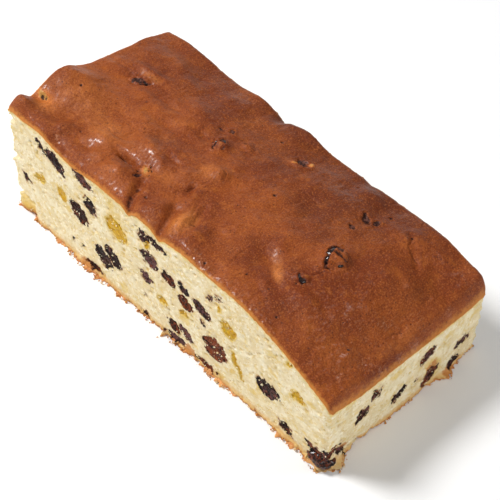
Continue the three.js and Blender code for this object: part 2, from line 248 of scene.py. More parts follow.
SMALL_FRUIT = (
    # kind and face, and for each fruit: along the face, height, length, width, turn in degrees
    ("raisin", "front", (
        (-90.5, 25.2, 5.6, 2.2, -30), (32.0, 47.4, 4.6, 2.2, 55), (36.6, 51.0, 4.2, 1.3, 25),
        (-9.1, 2.2, 3.4, 3.0, 0), (27.4, 28.0, 4.2, 2.2, 75), (-8.8, 15.8, 3.2, 1.2, 70),
        (-43.5, 38.2, 4.4, 1.8, 35), (72.6, 22.0, 3.6, 1.4, 30), (-58.9, 10.6, 3.2, 0.9, 65),
        (-51.4, 11.0, 2.8, 0.8, 55), (24.0, 2.6, 2.6, 1.6, 70), (-62.4, 48.6, 4.6, 3.0, -55),
    )),
    ("peel", "front", (
        (37.8, 45.6, 4.6, 2.4, 75), (2.8, 20.4, 5.6, 3.8, -20), (16.0, 23.2, 5.0, 2.4, 45),
        (-6.8, 47.6, 4.4, 2.4, 70), (76.8, 46.9, 2.2, 1.8, 0), (81.0, 30.6, 3.6, 3.0, 30),
    )),
    ("raisin", "right", (
        (-38.0, 6.4, 6.0, 3.2, -60), (-20.0, 28.6, 3.0, 1.6, -40), (-35.4, 2.6, 3.0, 2.0, -50),
        (7.0, 10.6, 2.4, 1.0, -60),
    )),
    ("raisin", "front", (
        (95.0, 7.4, 7.5, 4.6, 8),
    )),
    ("raisin", "right", (
        (-44.6, 8.2, 5.0, 4.8, 10),
    )),
    ("raisin", "back", (
        (-72.0, 12.0, 6.5, 3.6, 25), (-46.0, 33.0, 7.0, 4.4, -35), (-18.0, 40.0, 6.0, 3.8, 50),
        (4.0, 9.0, 7.2, 4.6, 10), (23.0, 24.0, 5.4, 3.4, -60), (50.0, 33.0, 6.4, 4.0, 15),
        (78.0, 8.0, 5.0, 3.2, -20), (-88.0, 36.0, 5.2, 3.0, 70), (66.0, 20.0, 4.4, 2.6, 40),
        (-2.0, 26.0, 4.0, 2.4, 0),
    )),
    ("peel", "back", (
        (-60.0, 44.0, 4.8, 3.2, 20), (38.0, 12.0, 5.2, 3.4, -30), (86.0, 22.0, 4.0, 2.6, 60),
        (-30.0, 14.0, 5.6, 3.0, 80),
    )),
    ("raisin", "left", (
        (-34.0, 14.0, 6.0, 3.6, 30), (-18.0, 44.0, 6.8, 4.2, -25), (8.0, 12.0, 5.6, 3.6, 60),
        (30.0, 46.0, 5.0, 3.0, 0), (38.0, 8.0, 6.4, 3.8, -40), (-2.0, 50.0, 4.2, 2.4, 45),
    )),
    ("peel", "left", (
        (18.0, 30.0, 5.4, 3.4, 15), (-38.0, 34.0, 4.6, 3.0, -50),
    )),
)


def small_fruit(kind, face, along, height, length, width, turned):
    """A small fruit in a cut face, as an ellipsoid of the kind that read_fruit gives: its middle in
    the face, its length turned from the level, and as deep as it is wide."""
    axis, at = CUTS[face]
    middle = np.array((along, along, height), float)
    middle[axis] = at
    level, upright, out = np.zeros(3), np.array((0.0, 0.0, 1.0)), np.zeros(3)
    level[1 - axis], out[axis] = 1, 1
    c, s = math.cos(math.radians(turned)), math.sin(math.radians(turned))
    axes = np.array((level * c + upright * s, upright * c - level * s, out))
    return {"node": kind, "faces": [face], "middle": middle, "axes": axes,
            "half": np.array((length, width, width)) / 2}


fruits = [read_fruit(name) for name in sorted(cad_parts) if name != "cake"]
fruits += [small_fruit(kind, face, *row) for kind, face, rows in SMALL_FRUIT for row in rows]
peels = [f for f in fruits if f["node"].startswith("peel")]
raisins = [f for f in fruits if f["node"].startswith("raisin")]

# ---------------------------------------------------------------------------------------------
# The form of the slab. The baked top is a field of soft humps and folds that droops to the right
# end, and its crust rolls down where it was cut.
HUMPS = np.array([
    # x, y, radius along, radius across, turn, rise
    (-95, -42, 9, 6, 0, 6.2), (-95, -33, 7, 3.5, 15, -1.6), (-94, -18, 17, 13, 0, 7.2),
    (-88, 2, 9, 5, 0, -1.2), (-80, 31, 16, 11, 0, 1.4), (-77, 9, 7, 4, 32, -2),
    (-75, 15, 9, 3, 30, 1.1), (-79, -44, 12, 8, 0, 3.8), (-54, -46, 11, 8, 0, -1.6),
    (-44, -2, 19, 5, 0, -1.6), (-42, 13, 14, 8, 10, 1.6), (-36, -38, 12, 8, 12, 2.8),
    (-30, -27, 6, 4, 15, -1.4), (-10, -40, 9, 8, 0, 2.6), (0, -44, 5, 6, 0, -1),
    (16, -42, 10, 8, 0, 1.2), (-8, -5, 6, 6, 0, 1.4), (-21, 8, 5, 4, 0, 0.9),
    (43, -23, 11, 7, 70, -1.0), (58, -3, 7, 7, 0, 2), (56.7, -21.3, 5, 3.5, 40, 0.8),
    (70, 33, 10, 7, 30, 1.6), (77, 8, 5, 5, 0, 0.9), (86, 27, 7, 5, 0, -0.9),
    (93, -21, 6, 6, 0, -0.8), (7, 30, 7, 4, 40, -1), (-83, 46, 16, 7, 0, 2.3),
    (-69, 46, 6, 6, 0, 0.7), (95, 44, 7, 6, 0, 3), (-35, 46, 10, 6, 0, 2.6),
    (-20, 47, 4, 6, 0, -2.4), (-5, 46, 10, 6, 0, 3.4), (33, 47, 4, 5, 0, -1.2),
    (-98, 33, 6, 8, 0, 1),
])
FOLDS = np.array([
    # from x, y to x, y, depth, half width
    (-18, -47, -25, -33, 2.2, 3.0), (1, -47, -5, -33, 1.8, 3.2), (67, 33, 79, 24, 1, 2),
    (8, -35, 3, -23, 0.9, 2), (35, -20, 53, -30.5, 0.8, 4.4),
])


def smooth(t):
    """A soft step from 0 to 1: t squared times 3 - 2 t, with t held between 0 and 1."""
    t = np.clip(t, 0, 1)
    return t * t * (3 - 2 * t)


def bell(v):
    """A round bump of height 1: e to the power of -1.5 v squared."""
    return np.exp(-1.5 * v * v)


def to_line(x, y, x0, y0, x1, y1):
    """The distance of each point from a straight line between two points."""
    dx, dy = x1 - x0, y1 - y0
    t = np.clip(((x - x0) * dx + (y - y0) * dy) / (dx * dx + dy * dy), 0, 1)
    return np.hypot(x - x0 - t * dx, y - y0 - t * dy)


def oval(x, y, at_x, at_y, along, across, turned):
    """The distance of each point from a place, measured in two radii that are turned in degrees."""
    c, s = math.cos(math.radians(turned)), math.sin(math.radians(turned))
    a, b = (x - at_x) * c + (y - at_y) * s, (y - at_y) * c - (x - at_x) * s
    return np.hypot(a / along, b / across)


def spots(x, y, rows):
    """The sum of oval bumps, each a bell, from rows of place, radii, turn and rise."""
    total = np.zeros(np.broadcast(x, y).shape)
    for *placed, rise in rows:
        total += rise * bell(oval(x, y, *placed))
    return total


def top_height(x, y):
    """Height of the crust: a level that a droop blends into the low end, with the humps added, the
    folds taken away, and a roll near the cut edges that grows with the square of the nearness."""
    back = (y / HALF_WIDE + 1) / 2
    level = 60.5 + (51.5 + 3.5 * smooth((20 - x) / 120) - 60.5) * back + 16 * back * (1 - back)
    rim = 34.2 + 2.6 * smooth((-28 - y) / 19)
    low = 36.2 + 4.9 * smooth((-5 - y) / 42) + 3.8 * back
    start = 45 + 25 * back
    droop = np.clip((x - start) / (100 - start), 0, 1) ** (1.5 + 0.2 * back)
    height = level + (low - level) * droop + spots(x, y, HUMPS)
    for x0, y0, x1, y1, depth, half_width in FOLDS:
        height -= depth * bell(to_line(x, y, x0, y0, x1, y1) / half_width)
    roll = lambda inset, fall, reach: fall * np.clip(1 - inset / reach, 0, 1) ** 2
    height -= roll(HALF_WIDE - np.abs(y), 1.3, 2.6) + roll(HALF_LONG + x, 1.3, 2.6)
    return height - roll(HALF_LONG - x, low - rim, 3.0 + 1.2 * back)


def hashed(cell, seed):
    """A number from 0 to 1 for each whole-number cell, from its three indices times large odd
    numbers, mixed by shifts."""
    whole = cell.astype(np.int64)
    h = whole[..., 0] * 73856093 ^ whole[..., 1] * 19349663 ^ whole[..., 2] * 83492791
    h = h ^ seed * 2971215073
    h = (h ^ (h >> 15)) * 2246822519 & 0xFFFFFFFF
    h = (h ^ (h >> 13)) * 3266489917 & 0xFFFFFFFF
    return ((h ^ (h >> 16)) & 0xFFFFFF) / 0xFFFFFF


def grain(points, size, seed, octaves=1):
    """Soft noise from about -1 to 1: random values at the corners of cubes of a size, blended by
    smooth steps, and for each further octave half as strong at half the size."""
    total, strength = 0.0, 1.0
    for octave in range(octaves):
        scaled = points * (2.0 ** octave) / size + 17.3 * octave
        base = np.floor(scaled)
        part = smooth(scaled - base)
        value = 0.0
        for i, j, k in np.ndindex(2, 2, 2):
            weight = np.prod(np.where((i, j, k), part, 1 - part), axis=-1)
            value = value + weight * hashed(base + (i, j, k), seed + octave)
        total, strength = total + strength * (2 * value - 1), strength / 2
    return total


def pits(points, size, seed, least, most):
    """Round pits: one in each cube of a size, at a random place, of a random radius between two
    parts of that size. 1 at the middle of a pit and 0 from its rim outwards."""
    base = np.floor(points / size - 0.5)
    deepest = np.zeros(points.shape[:-1])
    for i, j, k in np.ndindex(2, 2, 2):
        cell = base + (i, j, k)
        middle = np.stack([hashed(cell, seed + n) for n in range(3)], -1)
        radius = least + (most - least) * hashed(cell, seed + 3) ** 2
        away = np.linalg.norm(points / size - cell - middle, axis=-1) / np.maximum(radius, 1e-6)
        deepest = np.maximum(deepest, np.clip(1 - away * away, 0, 1) * radius / most)
    return deepest


def new_piece(name, points, faces, slot, *replaced, **numbers):
    """A piece from points in millimetres, faces of three or four corners, and numbers kept at the
    points. It rides on the root and stands for the nodes named. The slot is not used."""
    mesh = bpy.data.meshes.new(name)
    sizes = np.concatenate([np.full(len(f), f.shape[1]) for f in faces])
    corners = np.concatenate([f.ravel() for f in faces])
    mesh.vertices.add(len(points))
    mesh.loops.add(len(corners))
    mesh.polygons.add(len(sizes))
    mesh.vertices.foreach_set("co", (points / 1000).astype(np.float32).ravel())
    mesh.loops.foreach_set("vertex_index", corners.astype(np.int32))
    starts = np.concatenate(([0], np.cumsum(sizes)[:-1])).astype(np.int32)
    mesh.polygons.foreach_set("loop_start", starts)
    mesh.polygons.foreach_set("use_smooth", np.ones(len(sizes), bool))
    mesh.update(calc_edges=True)
    mesh.validate()
    for key, values in numbers.items():
        held = mesh.attributes.new(key, "FLOAT", "POINT")
        held.data.foreach_set("value", values.astype(np.float32))
    piece = bpy.data.objects.new(name, mesh)
    bpy.context.scene.collection.objects.link(piece)
    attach(piece, "root")
    if replaced:
        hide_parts(*replaced)
    return piece


def closed_stack(loops):
    """A closed shell over loops of points, stacked from the bottom up and each running
    counter-clockwise seen from above: four-cornered faces between loops, and a fan at each end."""
    rows, count = loops.shape[:2]
    here = np.arange(rows * count).reshape(rows, count)
    ahead = np.roll(here, -1, 1)
    sides = np.stack((here[:-1], ahead[:-1], ahead[1:], here[1:]), -1).reshape(-1, 4)
    low, high = rows * count, rows * count + 1
    bottom = np.stack((ahead[0], here[0], np.full(count, low)), -1)
    top = np.stack((here[-1], ahead[-1], np.full(count, high)), -1)
    points = np.vstack((loops.reshape(-1, 3), loops[0].mean(0), loops[-1].mean(0)))
    return points, [sides, np.vstack((bottom, top))]


def out_of_core(points, radius):
    """The nearest point of a rectangle that lies a radius inside the slab's plan, and the direction
    from there, for each point of the plan."""
    inner = np.array((HALF_LONG, HALF_WIDE)) - radius
    core = np.clip(points, -inner, inner)
    away = points - core
    return core, away / np.linalg.norm(away, axis=1)[:, None]


def outline(spacing, radius):
    """Points round the slab's plan, counter-clockwise from the front left corner, and the outward
    direction at each: a rectangle whose corners are rounded by pushing out from a smaller one."""
    corner = np.array([(-1, -1), (1, -1), (1, 1), (-1, 1)]) * (HALF_LONG, HALF_WIDE)
    runs = []
    for start, end in zip(corner, np.roll(corner, -1, 0)):
        steps = round(np.linalg.norm(end - start) / spacing)
        runs.append(start + (end - start) * np.arange(steps)[:, None] / steps)
    core, away = out_of_core(np.vstack(runs), radius)
    return core + away * radius, away


# ---------------------------------------------------------------------------------------------
# The bottom crust. The batter browned on the tin into a thin, leathery sheet. The knife tore it
# rather than cut it, so it stands out past the crumb in a ragged lip with small flakes.
MOST_REACH = 4.8    # as far as its tongues stand out
BASE_LIPS = {
    # along the face, half width, reach
    "front": ((-48, 13, 2.2), (-27, 6, 0.8), (4.2, 1.2, 5.4), (11, 4, 1.6), (80, 8, 1.8),
              (3, 4, -2.6), (-94, 5.5, -8.0), (40, 12, 1.2), (95, 6, 2.2)),
    "right": ((-41, 6.5, 4), (-27, 4, -4), (-20, 6, -2), (11, 6, -1.6), (26, 5.5, 3.8),
              (42, 9, -1.4)),
    "back": ((-60, 9, 1.9), (-15, 5, -2.2), (30, 14, 2), (77, 5, -1.8)),
    "left": ((-46, 3, 1.6), (-38, 5, 1.2), (-8, 6, -2), (24, 9, 2.1)),
}


def lip_reach(ring, away):
    """How far the bottom crust stands out: 1.3 mm, broad tongues and gaps as bells along each face,
    and two waves."""
    total = np.zeros(len(ring))
    for face, (axis, at) in CUTS.items():
        share = np.clip(away[:, axis] * np.sign(at), 0, 1) ** 2
        s = ring[:, 1 - axis]
        reach = 1.3 + 0.35 * np.sin(s / 2.3) + 0.3 * np.sin(s / 5.1 + 1)
        for middle, half_width, height in BASE_LIPS[face]:
            reach = reach + height * bell((s - middle) / half_width)
        total += share * reach
    return np.minimum(total, MOST_REACH)


ring, away = outline(0.4, 1.2)
reach = lip_reach(ring, away)
flat_ring = np.column_stack((ring, np.zeros(len(ring))))
torn = 0.6 * grain(flat_ring, 2.6, 11, 2) + 1.5 * np.abs(grain(flat_ring, 1.5, 13, 2)) ** 1.5 - 0.4
torn += 1.3 * (1 - np.abs(grain(flat_ring, 2.4, 15, 2))) ** 6 - 0.3
torn -= 1.3 * pits(flat_ring, 4.5, 17, 0.1, 0.45)
lip = np.clip(reach - 0.95 + torn, -9.0, 4.4)
lift = 0.2 * grain(flat_ring, 3.0, 19, 2)
profile = [
    # inset from the lip's end, part of the lip, height
    (38, 0, 0.3), (26, 0, 0.3), (18, 0, 0.25), (12, 0, 0.2), (8, 0, 0.15), (5, 0, 0.1),
    (3, 0, 0.05), (1.6, 0.6, 0.0), (0.8, 0.85, 0.0), (0.2, 1, 0.1), (0, 1, 0.3), (0.15, 1, 0.5),
    (0.5, 0.97, 0.7), (0.9, 0.9, 0.85), (1.5, 0.7, 1.0), (3.4, 0.2, 1.2), (6, 0, 1.2),
]
loops = []
for inset, part, height in profile:
    out = part * lip - inset
    if inset < 6:
        reached = ring + away * out[:, None]
    else:
        reached = ring * (1 - inset / np.array([HALF_LONG, HALF_WIDE]))
    z = height + (height >= 0.5) * lift
    layer = np.column_stack((reached, np.broadcast_to(z, len(ring))))
    rough = 0.2 * grain(layer, 0.8, 23, 2) * (height > 0.2)
    layer[:, 2] = np.maximum(layer[:, 2] + rough, 0)
    loops.append(layer)
points, faces = closed_stack(np.array(loops))
sandy = smooth((points[:, 0] - 93) / 4) * smooth((-32 - points[:, 1]) / 6)
bottom_crust = new_piece("bottom_crust", points, faces, "crumb", "cake", sandy=sandy)

baked = Finish("bottom_crust", Roughness=0.62, Subsurface_Weight=0.05,
               Subsurface_Radius=(0.002, 0.001, 0.0005), Subsurface_Scale=0.5)
patch = baked.grain(3.0, 3.0, 0.6).ramp(0.35, 0.65)
fleck = baked.grain(0.9, 2.0).ramp(0.55, 0.75)
speck = baked.cells(1.5).ramp(0.28, 0.12) * baked.grain(6.0).ramp(0.45, 0.6)
sand = baked.blend(
    baked.grain(1.4, 4.0, 0.7).ramp(0.4, 0.6), linear(204, 146, 84), linear(236, 206, 146))
tan = baked.layers(
    baked.blend(patch, linear(196, 122, 60), linear(222, 160, 92)), (fleck, (160, 88, 38)),
    (speck, (236, 208, 150)), (baked.attribute("sandy") * 0.85, sand))
bottom_crust.data.materials.append(baked.put(
    Base_Color=tan, Normal=baked.relief(baked.grain(0.7, 3.0, 0.6), 0.35, 0.8)))

# ---------------------------------------------------------------------------------------------
# The crumb. A pale, tender, fine-pored cake, a little yellower under the crust, cut with a long
# knife that tore its edges. The fruit has stained it, and it stands a little over the fruit's edge.
FRUIT_DENT = 1.1     # how far it draws back under a fruit
CRUMB_STEP = 0.45    # between its points along the faces
CRUMB_ROWS = 122     # from the base to the crust
CORNER_BITES = np.array([
    # torn out of an upright edge, or left standing if the depth is below 0: x, y, z, radii, depth
    (-100, -47, 56, 4, 4, 2.6, 2.0), (-100, -47, 59.6, 2, 2, 1.2, -0.8),
    (-100, -47, 50, 2, 2, 1.6, -0.7), (-100, -47, 45, 2.4, 2.4, 2, 0.6),
    (-100, -47, 34.5, 6, 6, 2.6, 3.4), (-100, -47, 30.6, 2, 2, 1.3, -1.3),
    (-100, -47, 22, 2.4, 2.4, 2.6, 0.7), (-100, -47, 11.5, 9, 8, 3.2, 4.0),
    (100, 47, 14, 2.4, 2.4, 3, 1.4), (100, 47, 25, 2, 2, 1.8, 0.8),
    (100, 47, 20, 1.6, 1.6, 1.4, -0.8), (-100, 47, 40, 3, 3, 2.6, 1.6),
    (-100, 47, 22, 3.4, 3.4, 3, 2.0), (100, -47, 24, 1.6, 1.6, 2, 0.5),
    (99.9, -47, 3.0, 10, 3.4, 4.6, 2.6),
])
AMBER_SPOTS = np.array([
    # clear, sugary spots of dissolved peel: x, y, z, radii
    (-93, -47, 8, 6, 3, 4.5), (-30, -47, 54, 2, 3, 4), (-25, -47, 50, 1.6, 2, 2.4),
    (-23, -47, 7, 2, 3, 3), (62, -47, 17, 2, 3, 4), (58, -47, 12, 3, 3, 1.6),
    (69, -47, 34, 2.6, 3, 1.6), (67, -47, 44.6, 3, 3, 1.2), (39, -47, 3.5, 1.6, 3, 2),
    (90, -47, 35, 2.4, 3, 1.6), (88, -47, 14, 1.6, 3, 1.2), (66.5, -47, 21.4, 4, 3, 2),
    (17, -47, 20, 4, 3, 2), (50, -47, 18, 1.6, 3, 2.4), (46, -47, 13, 1.4, 3, 1.4),
    (-61, -47, 28, 2.4, 3, 1.8), (100, -6.5, 28, 3, 5, 1.5), (100, 18, 10.5, 3, 4.6, 6.5),
    (-27.5, -47, 42.5, 7, 3, 8), (100, 41, 28, 3, 3, 1.6), (100, 16, 15, 3, 4, 3),
    (100, 25, 27, 3, 2.8, 1.6), (-60, 47, 30, 3, 3, 2.2), (10, 47, 36, 3.4, 3, 1.8),
    (70, 47, 28, 2.6, 3, 2), (-100, 0, 22, 3, 3.4, 2), (-100, -25, 52, 3, 2.6, 2.4),
])
STAINS = np.array([
    # where fruit juice baked orange-brown into the crumb: x, y, z, radii
    (100, 17, 10.5, 4, 5.0, 7.5), (100, 28, 2, 4, 5, 4), (100, -37, 7, 4, 3.4, 3),
    (-47, -47, 2, 7, 4, 4), (20, -47, 3, 5, 4, 4), (78, -47, 7, 3, 4, 2.6), (-70, 47, 11, 5, 4, 4),
    (-100, 10, 10, 4, 5, 4),
])


def depth_in(points, fruit):
    """How far a point is inside a fruit, in millimetres, and below 0 outside: its distance from the
    middle times one over its measure, less 1, where the measure is 1 on the fruit's surface."""
    way = points - fruit["middle"]
    measure = np.maximum(np.linalg.norm(way @ fruit["axes"].T / fruit["half"], axis=-1), 0.05)
    return np.linalg.norm(way, axis=-1) * (1 / measure - 1)


ring, away = outline(CRUMB_STEP, 1.8)
rise = np.linspace(0, 1, CRUMB_ROWS)[:, None]
top_edge = top_height(np.clip(ring[:, 0], -99.9, 99.9), np.clip(ring[:, 1], -46.9, 46.9))
z = 0.5 + rise * (top_edge - 0.7)
sheet = np.empty((CRUMB_ROWS, len(ring), 3))
sheet[..., :2] = ring
sheet[..., 2] = z
below = top_edge - z
reach = lip_reach(ring, away)

push = 0.2 * grain(sheet, 14, 31, 2) + 0.08 * grain(sheet, 3.2, 33, 2)
push += 0.14 * grain(sheet, 1.2, 35, 2)
hole = pits(sheet * (0.75, 0.75, 1.1), 2.1, 37, 0.05, 0.55)
wide_hole = pits(sheet * (0.8, 0.8, 1.2), 5.0, 43, 0.02, 0.3)
push -= 0.8 * hole + 1.2 * wide_hole
inset = HALF_LONG - np.abs(sheet[..., 0]) + HALF_WIDE - np.abs(sheet[..., 1])
corner = smooth(1 - inset / 3.0)
push += corner * (0.8 * grain(sheet, 1.7, 47, 2) - 0.4)
raised = 6.2 * smooth((sheet[..., 0] + 103) / 17) * smooth((-85.0 - sheet[..., 0]) / 2.2)
frayed = 0.8 * grain(sheet, 1.8, 57, 2) * (raised > 0.8)
raised = raised * smooth((-30 - sheet[..., 1]) / 10) + frayed
push -= 0.42 * np.maximum(raised - z, 0)
push += smooth(1 - z / 6) * np.minimum(reach + 0.4, 0) * (raised < 0.8)
push += smooth(1 - z / 2.6) * (0.1 + 0.25 * np.maximum(reach, 0) + 0.9 * grain(sheet, 1.6, 51, 2))
tongues = np.clip(1 - z / 7, 0, 1) * np.clip(reach - 2.4, 0, 2)
push += tongues * (1.0 + 0.5 * grain(sheet, 2.0, 55, 2))
push += smooth(1 - below / 2.5) * (0.3 * grain(sheet * (1, 1, 0.5), 1.3, 53, 2) - 0.05)

warp = np.stack([grain(sheet, 3.2, seed, 2) + 0.5 * grain(sheet, 1.1, seed + 5)
                 for seed in (101, 111, 121)], -1)
warped = sheet + 0.95 * warp
in_raisin, in_peel = np.full(z.shape, -9.0), np.full(z.shape, -9.0)
for fruit in fruits:
    near = np.linalg.norm(sheet - fruit["middle"], axis=-1) < fruit["half"].max() + 6
    if near.any() and fruit["faces"]:
        inside = in_peel if fruit["node"].startswith("peel") else in_raisin
        bent = sheet[near] + (1.1 if inside is in_peel else 1.3) * warp[near]
        inside[near] = np.maximum(inside[near], depth_in(bent, fruit))
for amber_spot in AMBER_SPOTS:
    measure = np.linalg.norm((warped - amber_spot[:3]) / amber_spot[3:], axis=-1)
    in_peel = np.maximum(in_peel, np.minimum(1.8 * (1 - measure) - 1.0, -0.75))
stained = np.max([smooth(1.3 - np.linalg.norm((warped - row[:3]) / row[3:], axis=-1))
                  for row in STAINS], axis=0)
ragged = 0.5 * grain(sheet, 1.2, 61, 2) - 0.05
specks = smooth((grain(sheet, 1.7, 65, 2) - 0.55) / 0.15)
dent = smooth((np.maximum(in_raisin, in_peel) + ragged) / 0.35 + 0.5) * (1 - specks)
push -= FRUIT_DENT * dent

crumb = sheet.copy()
crumb[..., :2] += away * push[..., None]
uneven = 0.25 * grain(sheet, 1.6, 67, 2)
for row in CORNER_BITES:
    measure = np.linalg.norm((sheet - row[:3]) / row[3:6], axis=-1) + uneven
    inward = -np.sign(row[:2])
    crumb[..., :2] += row[6] * smooth((1 - measure) / 0.5)[..., None] * inward / np.sqrt(2)
core_ring = ring - away * 6
foot = np.column_stack((core_ring, np.full(len(ring), 0.5)))
under = np.column_stack((core_ring, top_edge - 5))
stack = np.concatenate((foot[None], crumb, under[None]))
golden = bell((sheet[..., 1] + 41.5) / 4.5) * smooth((sheet[..., 0] - 97) / 2.5)
low_height = np.maximum(z - np.maximum(raised, 0) - 1.8 * golden, 2.3 * golden)
kept = {"below": below, "height": low_height, "hole": hole + wide_hole,
        "in_raisin": in_raisin, "in_peel": in_peel, "stained": stained}


def crumb_half(name, stations):
    """The crumb on one side of an upright plane through two corners: closed loops that run along
    two cut faces and come back straight through the slab, lower there to stay under the crust."""
    side = stack[:, stations]
    way = np.linspace(0, 1, 12)[1:-1, None]
    back = side[:, -1:] + (side[:, :1] - side[:, -1:]) * way
    back[..., 2] *= 0.75
    points, faces = closed_stack(np.concatenate((side, back), 1))
    numbers = {}
    for key, values in kept.items():
        wide = np.pad(values[:, stations], ((1, 1), (0, len(way))), mode="edge")
        numbers[key] = np.append(wide.ravel(), (0, 0))
    return new_piece(name, points, faces, "crumb", "cake", **numbers)


far_corner = round(2 * HALF_LONG / CRUMB_STEP) + round(2 * HALF_WIDE / CRUMB_STEP)
crumb_pieces = [crumb_half("crumb_front", np.arange(far_corner + 1)),
                crumb_half("crumb_back", np.arange(far_corner, len(ring) + 1) % len(ring))]


def crumb_colour(finish, depth, height, hollow):
    """Cream with paler and yellower patches, oily yellow streaks, and pores and pits laid darker
    and yellower, partly as painted shade in them; yellow under the top crust and golden at the
    base."""
    wobble = finish.grain(1.6, 3.0, 0.6) * 1.6 - 0.8
    patches = finish.grain(6.0, 4.0, 0.6).ramp(0.38, 0.62)
    streak = finish.grain(2.4, 4.0, 0.65, (0.8, 0.8, 1.0)).ramp(0.52, 0.64)
    light = finish.grain(1.5, 3.0, 0.7).ramp(0.56, 0.68)
    pore = finish.cells(1.3, (0.8, 0.8, 1.0)).ramp(0.4, 0.12) * finish.grain(4.0).ramp(0.4, 0.6)
    return finish.layers(
        finish.blend(patches, linear(226, 206, 161), linear(239, 225, 191)),
        (streak * 0.6, (226, 196, 118)), (light * 0.7, (251, 243, 224)),
        # painted shade in part: the pores and the crumb's pits are laid darker and yellower
        (pore * 0.7, (208, 174, 98)), (hollow.ramp(0.1, 0.9) * 0.75, (210, 176, 100)),
        ((depth + wobble).ramp(2.8, 0.5) * 0.8, (230, 196, 108)),
        ((depth + wobble * 0.6).ramp(0.9, 0.2), (204, 132, 56)),
        ((height + wobble * 2.5).ramp(4.5, 1.5) * 0.8, (218, 172, 98)),
        ((height + wobble * 1.6).ramp(1.5, 0.5) * 0.8, (186, 116, 52)))


tender = Finish("crumb", Roughness=0.85, Subsurface_Weight=0.1, Subsurface_Scale=0.6,
                Subsurface_Radius=(0.0022, 0.0014, 0.0007), Specular_IOR_Level=0.25)
fray = tender.grain(1.5, 4.0, 0.7) * 3.2 - 1.6
syrup = tender.attribute("in_peel") + fray * 0.7
blotch = tender.attribute("stained") * 1.6 + (tender.grain(2.0, 4.0, 0.7) - 0.5) * 3.0
juice = tender.attribute("in_raisin") + fray
smear = tender.grain(2.8, 2.0).ramp(0.42, 0.6)
colour = tender.layers(
    crumb_colour(tender, *(tender.attribute(name) for name in ("below", "height", "hole"))),
    (syrup.ramp(-1.7, -0.1) * 0.75, (218, 180, 62)), (blotch.ramp(0.5, 1.3) * 0.8, (192, 118, 50)),
    (juice.ramp(-2.6, -0.6) * smear * 0.4, (176, 128, 74)),
    (juice.ramp(-1.1, -0.5) * smear * 0.85, (122, 62, 32)),
    (juice.ramp(-0.4, -0.1) * 0.97, (42, 17, 12)))
fine = tender.relief(tender.cells(1.5, (0.8, 0.8, 1.1)), 0.2, 0.9)
tender.put(Base_Color=colour, Normal=tender.relief(tender.grain(0.9, 4.0, 0.75), 0.28, 0.9, fine))
for piece in crumb_pieces:
    piece.data.materials.append(tender.material)

# ---------------------------------------------------------------------------------------------
# The top crust. A thin, shiny brown skin over the crumb, baked darker on the humps, with creases
# between them, pinholes, and small cracks where it is drawn over raisins. It is cut with the slab.
# Painted light and shade are also laid into its colour: a pale sheen where it is glossy, lighter
# patches on a lit hollow and on the shining front edge, and shade in the creases.
LUMPS = np.array([
    # smaller humps and hollows of the skin: x, y, radius along, radius across, turn, rise
    (-97, -38, 5, 6, 0, 0.3), (-38, -17.5, 9, 5, -12, 1.3), (-40, -28.6, 8, 2.6, -3, -1.9),
    (-57, -28, 7, 4, 0, 0.7), (-56, -36, 8, 3.4, 8, -0.8), (-72, -37, 5, 4, 60, 1.1),
    (-69, -44, 4, 3, 40, -0.8), (-52, -35.5, 5, 3.5, 0, 0.8), (-36, -36, 7, 6, 0, 0.6),
    (-92, -24.5, 5, 3.5, 0, 0.4), (-93, -31, 3, 1.8, 0, -0.6), (-90, -12, 8, 6, 0, 0.5),
    (-80, 16, 10, 3, 6, 0.8), (-74, 12.6, 5, 1.5, 25, 0.9), (-76.5, 8.5, 4.5, 2, 25, -1.0),
    (-55, 8, 14, 2.5, 3, -0.5), (-60, 24, 9, 6, 20, 0.6), (-45, 17, 7, 6, 30, 0.7),
    (-30, 6, 8, 3, 0, -0.5), (-52, -8, 8, 6, 0, 0.5), (-33, -11, 7, 5, 20, 0.5),
    (-25, -15, 4, 2, 0, -0.5), (-28, -20, 5, 3, -40, 0.5), (-15, -20, 5, 5, 0, 0.5),
    (-9, -20, 2, 5, 20, -0.6), (-4, -24, 3, 6, 15, 0.5), (-6.5, -6, 4, 4, 0, 0.9),
    (-14, 17, 3, 2.6, 0, 0.8), (-20.5, 7, 4.5, 5.5, -10, 0.7), (-25, 18, 3, 2.4, 0, 0.5),
    (3, -36, 3.5, 9, 8, 1.0), (12, -38, 4, 7, -15, 0.6), (18, -30, 5, 6, 0, -0.4),
    (6, 26, 3, 1.6, 35, 0.35), (11.4, 32, 2, 1.8, 0, 0.35), (20, 20, 10, 7, 0, 0.5),
    (20, 5, 8, 6, 0, 0.4), (33, 8, 6, 9, 0, -0.4), (46, -19, 7, 4, -38, 0.4),
    (50, -34, 8, 2.5, -30, 0.3), (63, -14, 5, 6, 0, 0.5), (66, -26, 7, 5, 0, 0.5),
    (70, 10, 7, 6, 0, 0.4), (72, -6, 6, 5, 0, -0.4), (83, -8, 6, 5, 0, 0.5),
    (85, 14, 5, 6, 20, 0.5), (92, 0, 4, 9, 0, -0.4), (88, -25, 6, 6, 0, 0.4),
    (75, -36, 8, 5, 0, 0.4), (40, 38, 8, 5, 0, 0.5), (52, 25, 6, 3, 0, -0.4),
    (-5, 38, 8, 5, 0, 0.5), (-40, 34, 9, 6, 0, 0.5), (-72, 30, 7, 5, 0, 0.5),
    (-88, 24, 6, 6, 0, 0.5), (96, 38, 5, 8, 0, 0.6), (98, 44, 3, 5, 0, 0.6),
])
